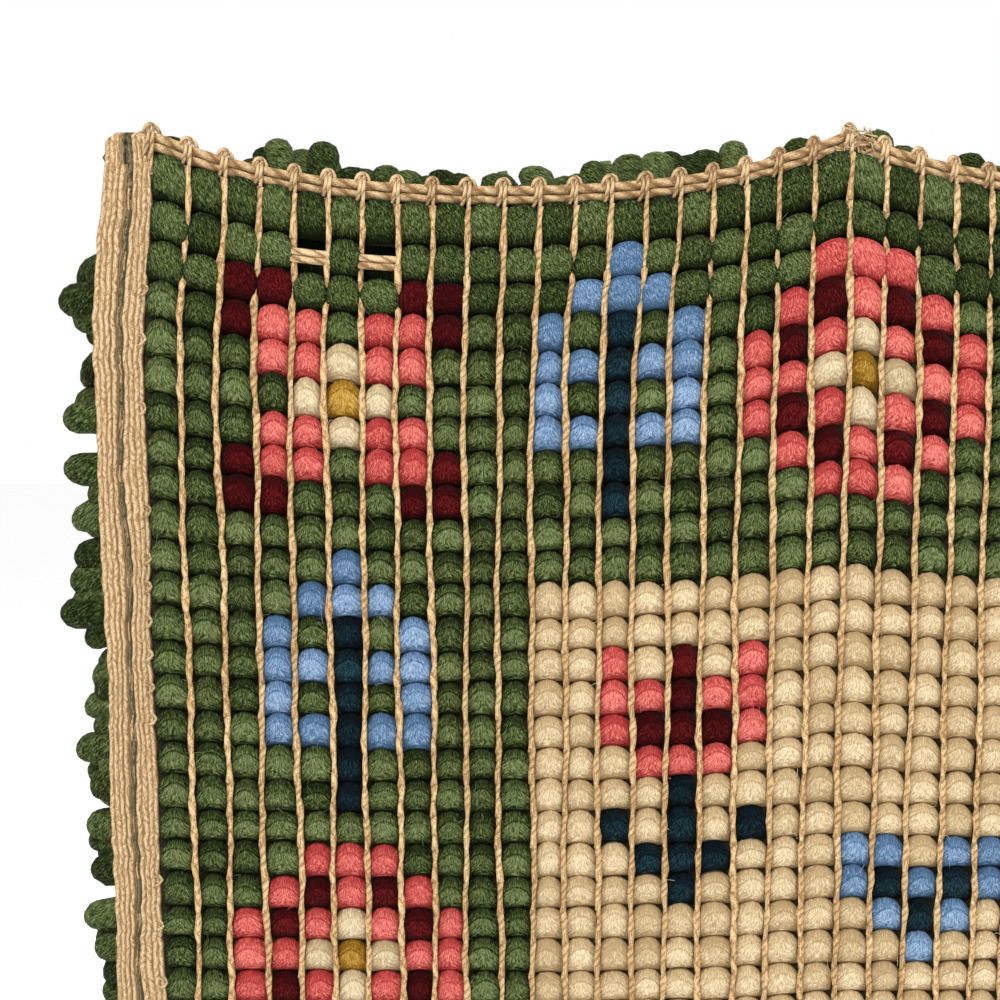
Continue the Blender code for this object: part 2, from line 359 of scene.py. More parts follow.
@dataclass
class Copies:
    """Points, corners and surface values of a joined mesh of many copies."""

    points: np.ndarray
    corners: np.ndarray
    sizes: np.ndarray
    maps: dict[str, np.ndarray] = field(default_factory=dict)
    values: dict[str, np.ndarray] = field(default_factory=dict)
    wraps: dict[str, float] = field(default_factory=dict)

    def _corner_places(self, name: str, starts: np.ndarray) -> np.ndarray:
        """Places of a map at every corner, with no jump where it closes round a thread.

        Args:
            name: Name of the map.
            starts: First corner of every face.

        Returns:
            The two places on the map, for every corner.
        """
        places = self.maps[name][self.corners]
        wrap = self.wraps.get(name, 0.0)
        if wrap:
            across = places[:, 0]
            highest = np.repeat(np.maximum.reduceat(across, starts), self.sizes)
            places[:, 0] = across + wrap * ((highest - across) > wrap / 2.0)
        return places

    def piece(self, name: str, material: bpy.types.Material, slot: str) -> bpy.types.Object:
        """The joined mesh as a piece that rides on the hanging.

        Args:
            name: Name of the piece.
            material: Its finish.
            slot: Not used.

        Returns:
            The new object, smooth shaded.
        """
        mesh = bpy.data.meshes.new(name)
        mesh.vertices.add(len(self.points))
        mesh.vertices.foreach_set("co", self.points.astype(np.float32).ravel())
        mesh.loops.add(len(self.corners))
        mesh.loops.foreach_set("vertex_index", self.corners.astype(np.int32))
        mesh.polygons.add(len(self.sizes))
        starts = np.concatenate([[0], np.cumsum(self.sizes)[:-1]]).astype(np.int32)
        mesh.polygons.foreach_set("loop_start", starts)
        mesh.update(calc_edges=True)
        for map_name in self.maps:
            layer = mesh.uv_layers.new(name=map_name)
            places = self._corner_places(map_name, starts)
            layer.uv.foreach_set("vector", places.astype(np.float32).ravel())
        for value_name, numbers in self.values.items():
            attribute = mesh.attributes.new(value_name, "FLOAT", "POINT")
            attribute.data.foreach_set("value", numbers.astype(np.float32))
        mesh.validate()
        mesh.shade_smooth()
        mesh.materials.append(material)
        piece = bpy.data.objects.new(name, mesh)
        bpy.context.scene.collection.objects.link(piece)
        return dressed(piece)


def dressed(piece: bpy.types.Object) -> bpy.types.Object:
    """Makes a piece ride on the hanging.

    Args:
        piece: The piece.

    Returns:
        The same piece.
    """
    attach(piece, BODY)
    LOG.info("%s: %d faces", piece.name, len(piece.data.polygons))
    return piece


def joined(parts: list[Copies]) -> Copies:
    """One set of copies made of several.

    Args:
        parts: The sets, with the same maps and values.

    Returns:
        The joined set.
    """
    shift = 0
    corners = []
    for part in parts:
        corners.append(part.corners + shift)
        shift += len(part.points)
    return Copies(
        points=np.concatenate([part.points for part in parts]),
        corners=np.concatenate(corners),
        sizes=np.concatenate([part.sizes for part in parts]),
        maps={name: np.concatenate([part.maps[name] for part in parts]) for name in parts[0].maps},
        values={name: np.concatenate([part.values[name] for part in parts]) for name in parts[0].values},
        wraps=parts[0].wraps,
    )


def waves(at: np.ndarray, parts: tuple) -> np.ndarray:
    """Sum of waves along a line, each given by its size, rate and phase."""
    return sum(size * np.sin(at * rate + phase) for size, rate, phase in parts)


class Bench:
    """Edit mode helpers for the shapes that are modelled once."""

    def __init__(self) -> None:
        """Clears the selection, so that operators act on the new shape alone."""
        bpy.ops.object.select_all(action="DESELECT")

    @property
    def piece(self) -> bpy.types.Object:
        """The shape on the bench."""
        return bpy.context.view_layer.objects.active

    def pick(self, wanted: Callable[[Vector], bool]) -> None:
        """Selects the points whose place passes the test, in edit mode.

        Args:
            wanted: The test of a point's place.
        """
        bpy.ops.object.mode_set(mode="OBJECT")
        mesh = self.piece.data
        for vert in mesh.vertices:
            vert.select = bool(wanted(vert.co))
        for edge in mesh.edges:
            edge.select = all(mesh.vertices[i].select for i in edge.vertices)
        for face in mesh.polygons:
            face.select = all(mesh.vertices[i].select for i in face.vertices)
        bpy.ops.object.mode_set(mode="EDIT")

    def move(self, wanted: Callable[[Vector], bool], step: tuple[float, float, float]) -> None:
        """Moves the points whose place passes the test."""
        self.pick(wanted)
        bpy.ops.transform.translate(value=step)

    def stretch(self, wanted: Callable[[Vector], bool], size: tuple[float, float, float]) -> None:
        """Scales the points whose place passes the test, about the origin."""
        self.pick(wanted)
        bpy.ops.transform.resize(value=size, center_override=(0.0, 0.0, 0.0))

    def draw_out(self, step: tuple[float, float, float], size: float, turn: float = 0.0) -> None:
        """Extrudes the picked rim by a step, and scales and turns its new end about Z.

        Args:
            step: The way that the new end lies from the old one.
            size: Size of the new end against the old one.
            turn: Turn of the new end about the Z axis, in radians.
        """
        bpy.ops.mesh.extrude_region_move(TRANSFORM_OT_translate={"value": step})
        if size != 1.0:
            bpy.ops.transform.resize(value=(size, size, 1.0))
        if turn:
            bpy.ops.transform.rotate(value=-turn, orient_axis="Z", center_override=(0.0, 0.0, 0.0))

    def take(self) -> Shape:
        """Ends the modelling and gives the shape's arrays."""
        bpy.ops.object.mode_set(mode="OBJECT")
        return Shape.of(self.piece)


class Nodes:
    """A short way to place and join the nodes of one material or group."""

    def __init__(self, tree: bpy.types.NodeTree) -> None:
        """Keeps the tree."""
        self.tree = tree

    def add(self, kind: str, **settings) -> bpy.types.Node:
        """Adds a node and sets its properties.

        Args:
            kind: Blender's name of the node's type.
            **settings: Its properties.

        Returns:
            The node.
        """
        node = self.tree.nodes.new(kind)
        for name, value in settings.items():
            setattr(node, name, value)
        return node

    def join(self, output: bpy.types.NodeSocket, socket: bpy.types.NodeSocket) -> None:
        """Joins an output to an input."""
        self.tree.links.new(output, socket)

    def maths(self, operation: str, *values, clamp: bool = False) -> bpy.types.NodeSocket:
        """Adds a Math node.

        Args:
            operation: What it works out.
            *values: Sockets or numbers that it works on.
            clamp: Whether its result is kept from nought to one.

        Returns:
            Its output.
        """
        node = self.add("ShaderNodeMath", operation=operation, use_clamp=clamp)
        for index, value in enumerate(values):
            if isinstance(value, (int, float)):
                node.inputs[index].default_value = value
            else:
                self.join(value, node.inputs[index])
        return node.outputs[0]


def fibre_group() -> bpy.types.NodeTree:
    """Wool or cotton fibres that run along V of a map in millimetres; built once.

    Returns:
        The group's node tree.
    """
    name = "lying_fibres"
    if name in bpy.data.node_groups:
        return bpy.data.node_groups[name]
    coarse_detail = 3.5
    coarse_roughness = 0.7
    coarse_share = 0.6
    fine_scale = 2.7
    fine_share = 0.4
    group = bpy.data.node_groups.new(name, "ShaderNodeTree")
    group.interface.new_socket("Place", in_out="INPUT", socket_type="NodeSocketVector")
    group.interface.new_socket("Across", in_out="INPUT", socket_type="NodeSocketFloat")
    group.interface.new_socket("Along", in_out="INPUT", socket_type="NodeSocketFloat")
    group.interface.new_socket("Fibres", in_out="OUTPUT", socket_type="NodeSocketFloat")
    nodes = Nodes(group)
    inside = nodes.add("NodeGroupInput")
    outside = nodes.add("NodeGroupOutput")
    scale = nodes.add("ShaderNodeCombineXYZ")
    nodes.join(inside.outputs["Across"], scale.inputs["X"])
    nodes.join(inside.outputs["Along"], scale.inputs["Y"])
    stretched = nodes.add("ShaderNodeVectorMath", operation="MULTIPLY")
    nodes.join(inside.outputs["Place"], stretched.inputs[0])
    nodes.join(scale.outputs[0], stretched.inputs[1])
    coarse = nodes.add("ShaderNodeTexNoise", noise_dimensions="2D")
    coarse.inputs["Scale"].default_value = 1.0
    coarse.inputs["Detail"].default_value = coarse_detail
    coarse.inputs["Roughness"].default_value = coarse_roughness
    nodes.join(stretched.outputs[0], coarse.inputs["Vector"])
    fine = nodes.add("ShaderNodeTexNoise", noise_dimensions="2D")
    fine.inputs["Scale"].default_value = fine_scale
    fine.inputs["Detail"].default_value = 1.0
    nodes.join(stretched.outputs[0], fine.inputs["Vector"])
    coarse_part = nodes.maths("MULTIPLY", coarse.outputs[0], coarse_share)
    fine_part = nodes.maths("MULTIPLY", fine.outputs[0], fine_share)
    nodes.join(nodes.maths("ADD", coarse_part, fine_part), outside.inputs["Fibres"])
    return group


def ply_group() -> bpy.types.NodeTree:
    """Grooves between the plies of a twisted thread, one for each whole number along U; built once.

    Returns:
        The group's node tree.
    """
    name = "ply_grooves"
    if name in bpy.data.node_groups:
        return bpy.data.node_groups[name]
    flatness = 0.6
    group = bpy.data.node_groups.new(name, "ShaderNodeTree")
    group.interface.new_socket("Place", in_out="INPUT", socket_type="NodeSocketVector")
    group.interface.new_socket("Round", in_out="OUTPUT", socket_type="NodeSocketFloat")
    nodes = Nodes(group)
    inside = nodes.add("NodeGroupInput")
    outside = nodes.add("NodeGroupOutput")
    parts = nodes.add("ShaderNodeSeparateXYZ")
    nodes.join(inside.outputs["Place"], parts.inputs[0])
    wave = nodes.maths("SINE", nodes.maths("MULTIPLY", parts.outputs[0], math.pi))
    nodes.join(nodes.maths("POWER", nodes.maths("ABSOLUTE", wave), flatness), outside.inputs["Round"])
    return group


def crease_group() -> bpy.types.NodeTree:
    """The arched crease in the top quarter of a knot, where its yarn passes over itself, and the band above
    it; built once. The materials use its depth for bump and for painted shade.

    Returns:
        The group's node tree.
    """
    name = "knot_crease"
    if name in bpy.data.node_groups:
        return bpy.data.node_groups[name]
    arch_rise = 1.7
    arch_top = 0.14
    sharpness = 16.0
    above_sharpness = -12.0
    above_depth = 0.55
    group = bpy.data.node_groups.new(name, "ShaderNodeTree")
    group.interface.new_socket("Place", in_out="INPUT", socket_type="NodeSocketVector")
    group.interface.new_socket("Share", in_out="INPUT", socket_type="NodeSocketFloat")
    group.interface.new_socket("Depth", in_out="OUTPUT", socket_type="NodeSocketFloat")
    nodes = Nodes(group)
    inside = nodes.add("NodeGroupInput")
    outside = nodes.add("NodeGroupOutput")
    parts = nodes.add("ShaderNodeSeparateXYZ")
    nodes.join(inside.outputs["Place"], parts.inputs[0])
    squared = nodes.maths("MULTIPLY", parts.outputs[0], parts.outputs[0])
    arch = nodes.maths("MULTIPLY", squared, arch_rise)
    away = nodes.maths("SUBTRACT", parts.outputs[1], nodes.maths("ADD", arch, arch_top))
    near = nodes.maths("MULTIPLY", nodes.maths("ABSOLUTE", away), sharpness)
    line = nodes.maths("SUBTRACT", 1.0, near, clamp=True)
    above = nodes.maths("MULTIPLY", away, above_sharpness, clamp=True)
    depth = nodes.maths("MAXIMUM", line, nodes.maths("MULTIPLY", above, above_depth))
    nodes.join(nodes.maths("MULTIPLY", depth, inside.outputs["Share"]), outside.inputs["Depth"])
    return group


def placed_group(nodes: Nodes, group: bpy.types.NodeTree, **values: float) -> bpy.types.Node:
    """Places a group in a material and sets its number inputs.

    Args:
        nodes: The material's nodes.
        group: The group.
        **values: Its number inputs.

    Returns:
        The group's node.
    """
    node = nodes.add("ShaderNodeGroup", node_tree=group)
    for name, value in values.items():
        node.inputs[name].default_value = value
    return node


@dataclass(frozen=True)
class FibreFinish:
    """A finish of twisted fibres: a spread of colours along the fibres, matt with a soft sheen."""

    name: str
    deep: tuple[float, float, float]
    middle: tuple[float, float, float]
    light: tuple[float, float, float]
    softness: float = 0.125
    across: float = 3.2
    along: float = 0.7
    tone_share: float = 0.5
    roughness: float = 0.9
    sheen: float = 0.03
    sheen_roughness: float = 0.5
    specular: float = 0.05
    bump: float = 0.5
    bump_depth: float = 0.0004
    crease: float = 0.0
    painted_crease_shade: float = 0.16
    plies: float = 0.0
    ply_middle: float = 0.8
    painted_ply_shade: float = 0.35

    def material(self) -> bpy.types.Material:
        """Builds the material from its nodes.

        Returns:
            The material.
        """
        material = bpy.data.materials.new(self.name)
        material.use_nodes = True
        nodes = Nodes(material.node_tree)
        shader = material.node_tree.nodes["Principled BSDF"]
        shader.inputs["Roughness"].default_value = self.roughness
        shader.inputs["Sheen Weight"].default_value = self.sheen
        shader.inputs["Sheen Roughness"].default_value = self.sheen_roughness
        shader.inputs["Specular IOR Level"].default_value = self.specular
        place = nodes.add("ShaderNodeUVMap", uv_map="fibres")
        fibres = placed_group(nodes, fibre_group(), Across=self.across, Along=self.along)
        nodes.join(place.outputs[0], fibres.inputs["Place"])
        tone = nodes.add("ShaderNodeAttribute", attribute_name="tone")
        own = nodes.maths("SUBTRACT", tone.outputs["Fac"], 0.5)
        toned = nodes.maths("MULTIPLY", own, self.tone_share)
        shade = nodes.maths("ADD", fibres.outputs["Fibres"], toned)
        height = fibres.outputs["Fibres"]
        if self.crease:
            crease = self._crease(nodes)
            # Painted shade in the crease and over the band above it
            shade = nodes.maths("SUBTRACT", shade, nodes.maths("MULTIPLY", crease, self.painted_crease_shade))
            height = nodes.maths("SUBTRACT", height, nodes.maths("MULTIPLY", crease, self.crease))
        if self.plies:
            rounded = self._plies(nodes)
            # Painted shade in the grooves between plies, and painted light on their crowns
            proud = nodes.maths("SUBTRACT", rounded, self.ply_middle)
            shade = nodes.maths("ADD", shade, nodes.maths("MULTIPLY", proud, self.painted_ply_shade))
            height = nodes.maths("ADD", height, nodes.maths("MULTIPLY", rounded, self.plies))
        ramp = nodes.add("ShaderNodeValToRGB")
        stops = ramp.color_ramp.elements
        stops[0].position, stops[0].color = 0.5 - self.softness, (*self.deep, 1.0)
        stops[1].position, stops[1].color = 0.5 + self.softness, (*self.light, 1.0)
        middle = stops.new(0.5)
        middle.color = (*self.middle, 1.0)
        nodes.join(shade, ramp.inputs[0])
        nodes.join(ramp.outputs["Color"], shader.inputs["Base Color"])
        bump = nodes.add("ShaderNodeBump")
        bump.inputs["Strength"].default_value = self.bump
        bump.inputs["Distance"].default_value = self.bump_depth
        nodes.join(height, bump.inputs["Height"])
        nodes.join(bump.outputs[0], shader.inputs["Normal"])
        return material

    def _crease(self, nodes: Nodes) -> bpy.types.NodeSocket:
        """How deep the knot's own crease is at each place.

        Args:
            nodes: The material's nodes.

        Returns:
            The depth, from nought to one.
        """
        cell = nodes.add("ShaderNodeUVMap", uv_map="cell")
        share = nodes.add("ShaderNodeAttribute", attribute_name="crease")
        crease = placed_group(nodes, crease_group())
        nodes.join(cell.outputs[0], crease.inputs["Place"])
        nodes.join(share.outputs["Fac"], crease.inputs["Share"])
        return crease.outputs["Depth"]

    def _plies(self, nodes: Nodes) -> bpy.types.NodeSocket:
        """How high the surface stands within each ply.

        Args:
            nodes: The material's nodes.

        Returns:
            The height, from nought in a groove to one.
        """
        place = nodes.add("ShaderNodeUVMap", uv_map="plies")
        plies = placed_group(nodes, ply_group())
        nodes.join(place.outputs[0], plies.inputs["Place"])
        return plies.outputs["Round"]


def wool(name: str, deep: tuple, middle: tuple, light: tuple, **changes) -> FibreFinish:
    """A rug wool finish for the knots."""
    return FibreFinish(name, deep, middle, light, crease=1.2, **changes)


# Rug wool of each yarn: deep, middle and light, as linear red, green and blue
WOOLS = {
    Yarn.MOSS: wool("moss_wool", (0.006, 0.011, 0.002), (0.074, 0.104, 0.027), (0.24, 0.285, 0.125)),
    Yarn.CREAM: wool("cream_wool", (0.42, 0.29, 0.14), (0.68, 0.52, 0.30), (0.93, 0.79, 0.53)),
    Yarn.CORAL: wool("coral_wool", (0.34, 0.03, 0.03), (0.68, 0.125, 0.105), (0.90, 0.30, 0.25)),
    Yarn.MAROON: wool("maroon_wool", (0.018, 0.0005, 0.001), (0.062, 0.002, 0.003), (0.18, 0.013, 0.013)),
    Yarn.SKY: wool("sky_wool", (0.05, 0.11, 0.20), (0.16, 0.27, 0.44), (0.40, 0.54, 0.74)),
    Yarn.TEAL: wool("teal_wool", (0.001, 0.003, 0.005), (0.003, 0.014, 0.020), (0.02, 0.06, 0.08)),
    Yarn.MUSTARD: wool("mustard_wool", (0.18, 0.09, 0.006), (0.42, 0.22, 0.025), (0.64, 0.42, 0.11)),
    Yarn.IVORY: wool("ivory_wool", (0.40, 0.29, 0.15), (0.66, 0.52, 0.31), (0.88, 0.76, 0.53)),
}
COTTON = FibreFinish(
    "canvas_cotton",
    (0.30, 0.17, 0.075),
    (0.62, 0.41, 0.20),
    (0.86, 0.66, 0.40),
    across=4.0,
    along=1.1,
    roughness=0.85,
    bump=0.7,
    bump_depth=0.0003,
    plies=0.5,
)
WARP_COTTON = FibreFinish(
    "warp_cotton",
    (0.37, 0.20, 0.078),
    (0.73, 0.46, 0.21),
    (0.92, 0.70, 0.39),
    across=4.0,
    along=1.1,
    roughness=0.85,
    bump=0.7,
    bump_depth=0.0003,
    plies=0.7,
    painted_ply_shade=0.24,
)
BAND_COTTON = FibreFinish(
    "selvedge_cotton",
    (0.33, 0.19, 0.085),
    (0.66, 0.44, 0.22),
    (0.90, 0.70, 0.44),
    softness=0.12,
    across=4.2,
    along=1.4,
    roughness=0.85,
    bump=0.8,
    bump_depth=0.00035,
    plies=0.18,
    painted_ply_shade=0.17,
)
# Painted shade: a dark material for the groove of each selvedge and for the canvas ground behind the knots
GROOVE_SHADE = FibreFinish(
    "groove_painted_shade",
    (0.035, 0.030, 0.015),
    (0.145, 0.120, 0.060),
    (0.34, 0.26, 0.15),
    across=3.0,
    along=0.8,
)


# Rows of points of a knot, from its top: where the grid has them, where they go, and how high
KNOT_ROWS = (
    (1 / 2, 0.62, 0.0),
    (1 / 3, 0.60, 0.62),
    (1 / 6, 0.40, 0.96),
    (0.0, 0.14, 1.02),
    (-1 / 6, -0.13, 0.88),
    (-1 / 3, -0.34, 0.55),
    (-1 / 2, -0.50, 0.05),
)
# Columns of points of a knot, from its middle: where they are, where they go, how high, top drop
KNOT_COLUMNS = (
    (1 / 6, 0.20, 0.96, 0.06),
    (1 / 3, 0.38, 0.80, 0.22),
    (1 / 2, 0.50, 0.34, 0.40),
)
# How much of the top drop the points between two heights take
KNOT_DROPS = (
    (0.05, 0.3, 0.2),
    (0.3, 0.5, 0.6),
    (0.5, 0.7, 1.0),
)


@dataclass
class KnottedSide:
    """The knots on the back of the canvas, a pillow of yarn in every cell.

    Sizes across and down are shares of a cell, and crest, root and hair sizes are in metres. The
    sizes that start with puffed are those of the fuller knots of the first rows.
    """

    cloth: HungCloth
    chart: Chart
    crest: float = 0.0034
    root: float = 0.0004
    near: float = 0.04
    width: float = 0.975
    width_spread: float = 0.03
    height_spread: float = 0.05
    depth_spread: float = 0.1
    turn_spread: float = 0.05
    aside_spread: float = 0.015
    down_spread: float = 0.02
    fan: float = 0.65
    fan_bend: float = 6.0
    fibre_across: float = 6.8
    fibre_down: float = 6.6
    cell_spread: tuple[float, float] = (0.04, 0.03)
    # Painted shade: the next five sizes darken the tones in the valleys between knots and under their lower
    # ends
    valley_painted_shade: float = 0.36
    valley_height: float = 0.85
    under_shade: float = 0.09
    under_from: float = 0.1
    under_reach: float = 0.4
    crease_share: tuple[float, float] = (0.5, 1.0)
    puffed_rows: float = 3.5
    puffed_fade: float = 1.5
    puffed_rise: float = 0.42
    puffed_round: float = 0.2
    puffed_width: float = 0.125
    puffed_depth: float = 0.12
    puffed_fan: float = 0.45
    puffed_curl: float = 0.4
    puffed_shade: float = 0.1
    # Painted shade: how much deeper the valley shade is on the puffed knots
    puffed_valley: float = 0.6
    hair: float = 0.00004
    hair_share: float = 0.55
    hair_length: tuple[float, float] = (0.0012, 0.0030)
    hair_sink: float = 0.0002
    hair_out: float = 0.25
    hair_curl: float = 0.0005
    hair_tone: float = 0.75

    def model_knot(self) -> Shape:
        """One knot in its own cell: X across, Y up, and Z out of the canvas, each about one.

        Returns:
            The modelled knot.
        """
        bench = Bench()
        near = self.near
        bpy.ops.mesh.primitive_grid_add(x_subdivisions=6, y_subdivisions=6, size=1.0)
        for station, place, rise in KNOT_ROWS:
            bench.move(lambda p: abs(p.y - station) < near and p.z == 0.0, (0.0, place - station, rise))
        for station, place, share, drop in KNOT_COLUMNS:
            for side in (-1.0, 1.0):
                bench.stretch(lambda p: abs(p.x - side * station) < near, (place / station, 1.0, share))
                for low, high, part in KNOT_DROPS:
                    bench.move(
                        lambda p: abs(p.x - side * place) < near and low < p.y < high,
                        (0.0, -drop * part, 0.0),
                    )
        return bench.take()

    def _fibres(self, x: np.ndarray, y: np.ndarray, puffed: np.ndarray, shift: np.ndarray) -> np.ndarray:
        """Fibre map of the knots, whose fibres fan out from the middle of the top.

        Args:
            x: Places across the knots.
            y: Places up the knots.
            puffed: How puffed each knot is, from nought to one.
            shift: How far each knot's map is moved.

        Returns:
            The two places on the map, for every point of every knot.
        """
        spreading = self.fan * np.tanh(self.fan_bend * x) * (1.0 - puffed) + self.puffed_fan * puffed
        fanned = (x + y * spreading) * self.fibre_across
        lying = y * self.fibre_down * (1.0 + self.puffed_curl * puffed)
        return np.stack([fanned + shift[:, :1], lying + shift[:, 1:]], axis=-1)

    def _tones_with_painted_shade(
        self, rng: np.random.Generator, y: np.ndarray, z: np.ndarray, puffed: np.ndarray
    ) -> np.ndarray:
        """Tones of the knots: each knot's own tone, with painted shade under their lower ends and in the
        valleys between them.

        Args:
            rng: The source of each knot's own tone.
            y: Places up the knots.
            z: Heights out of the canvas.
            puffed: How puffed each knot is, from nought to one.

        Returns:
            The tone of every point.
        """
        own = rng.uniform(*TONES, (len(y), 1)) - self.puffed_shade * puffed
        # Painted shade under the lower end of each knot
        shaded = self.under_shade * np.clip((-self.under_from - y) / self.under_reach, 0.0, 1.0)
        # Painted shade where a knot sinks towards the canvas, in the valleys between knots
        deeper = self.valley_painted_shade * (1.0 + self.puffed_valley * puffed)
        sunk = deeper * np.minimum(z - self.valley_height, 0.0)
        return (own + sunk - shaded).ravel()

    def stamp(self, shape: Shape, columns: np.ndarray, rows: np.ndarray, seed: int) -> Copies:
        """Copies the knot into cells, each a little different.

        Args:
            shape: The modelled knot.
            columns: Columns of the cells.
            rows: Rows of the cells.
            seed: Seed of the small differences.

        Returns:
            The joined copies, with their maps, and their tones with painted shade.
        """
        rng = np.random.default_rng(seed)
        count = len(columns)

        def spread(size: float) -> np.ndarray:
            """Small differences, one for each knot."""
            return rng.uniform(-size, size, (count, 1))

        puffed = np.clip((self.puffed_rows - rows) / self.puffed_fade, 0.0, 1.0)[:, None]
        x = shape.points[None, :, 0]
        y = shape.points[None, :, 1]
        y = y + self.puffed_rise * puffed * (2.0 * x) ** 2 * np.clip(y, 0.0, 0.5)
        z = shape.points[None, :, 2] ** (1.0 - self.puffed_round * puffed)
        turn = spread(self.turn_spread)
        wide = (self.width + self.puffed_width * puffed) * (1.0 + spread(self.width_spread))
        tall = 1.0 + spread(self.height_spread)
        across = x * wide + y * turn + spread(self.aside_spread)
        down = 0.5 - (y * tall - x * turn) + spread(self.down_spread)
        swell = (1.0 + spread(self.depth_spread)) * (1.0 + self.puffed_depth * puffed)
        depth = -self.root - (self.crest - self.root) * z * swell
        points = self.cloth.place(columns[:, None] + 0.5 + across, rows[:, None] + down, depth)
        fibres = self._fibres(x, y, puffed, rng.uniform(0.0, MAP_SHIFT, (count, 2)))
        cell_x = x + 0.0 * y + spread(self.cell_spread[0])
        cell_y = 0.5 - y + 0.0 * x + spread(self.cell_spread[1])
        cell = np.stack([cell_x, cell_y], axis=-1)
        tone = self._tones_with_painted_shade(rng, y, z, puffed)
        creased = rng.uniform(*self.crease_share, count) * (1.0 - puffed[:, 0])
        corners, sizes = shape.copied(count)
        return Copies(
            points=points.reshape(-1, 3),
            corners=corners,
            sizes=sizes,
            maps={"fibres": fibres.reshape(-1, 2), "cell": cell.reshape(-1, 2)},
            values={"tone": tone, "crease": np.repeat(creased, len(shape.points))},
        )

    def stray_fibres(self, columns: np.ndarray, rows: np.ndarray, seed: int) -> Copies:
        """Loose hairs that stand off the knots of one yarn, about one for every second knot.

        Args:
            columns: Columns of the knots.
            rows: Rows of the knots.
            seed: Seed of their places and curls.

        Returns:
            The joined hairs.
        """
        rng = np.random.default_rng(seed)
        haired = rng.uniform(0.0, 1.0, len(columns)) < self.hair_share
        columns, rows = columns[haired], rows[haired]
        count = len(columns)
        column = columns + rng.uniform(0.1, 0.9, count)
        row = rows + rng.uniform(0.0, 1.0, count)
        start = self.cloth.place(column, row, np.full(count, self.hair_sink - self.crest))
        angle = rng.uniform(0.0, 2.0 * np.pi, count)
        length = rng.uniform(*self.hair_length, count)
        out = np.full(count, -self.hair_out)
        way = np.stack([np.cos(angle), out, np.sin(angle)], axis=-1) * length[:, None]
        curl = rng.normal(0.0, self.hair_curl, (count, 3))
        curl[:, 1] = np.abs(curl[:, 1])
        steps = np.linspace(0.0, 1.0, 3)[None, :, None]
        curled = curl[:, None, :] * 4.0 * steps * (1.0 - steps)
        hairs = Thread(self.hair, sides=3).along(start[:, None, :] + way[:, None, :] * steps + curled)
        size = len(hairs.points)
        return Copies(
            points=hairs.points,
            corners=hairs.corners,
            sizes=hairs.sizes,
            maps={"fibres": hairs.maps["fibres"], "cell": np.ones((size, 2))},
            values={"tone": np.full(size, self.hair_tone), "crease": np.zeros(size)},
        )

    def build(self, materials: dict[Yarn, bpy.types.Material]) -> list[bpy.types.Object]:
        """Builds the knots, one piece for each yarn.

        Args:
            materials: The finish of each yarn.

        Returns:
            The pieces, in the order of the yarns.
        """
        knot = self.model_knot()
        pieces = []
        for number, yarn in enumerate(Yarn):
            columns, rows = self.chart.cells(yarn)
            knots = self.stamp(knot, columns, rows, SEED + number)
            hairs = self.stray_fibres(columns, rows, number)
            piece = joined([knots, hairs]).piece(f"knots_{yarn.name.lower()}", materials[yarn], "knot_wool")
            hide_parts("knot_rows")
            pieces.append(piece)
        return pieces


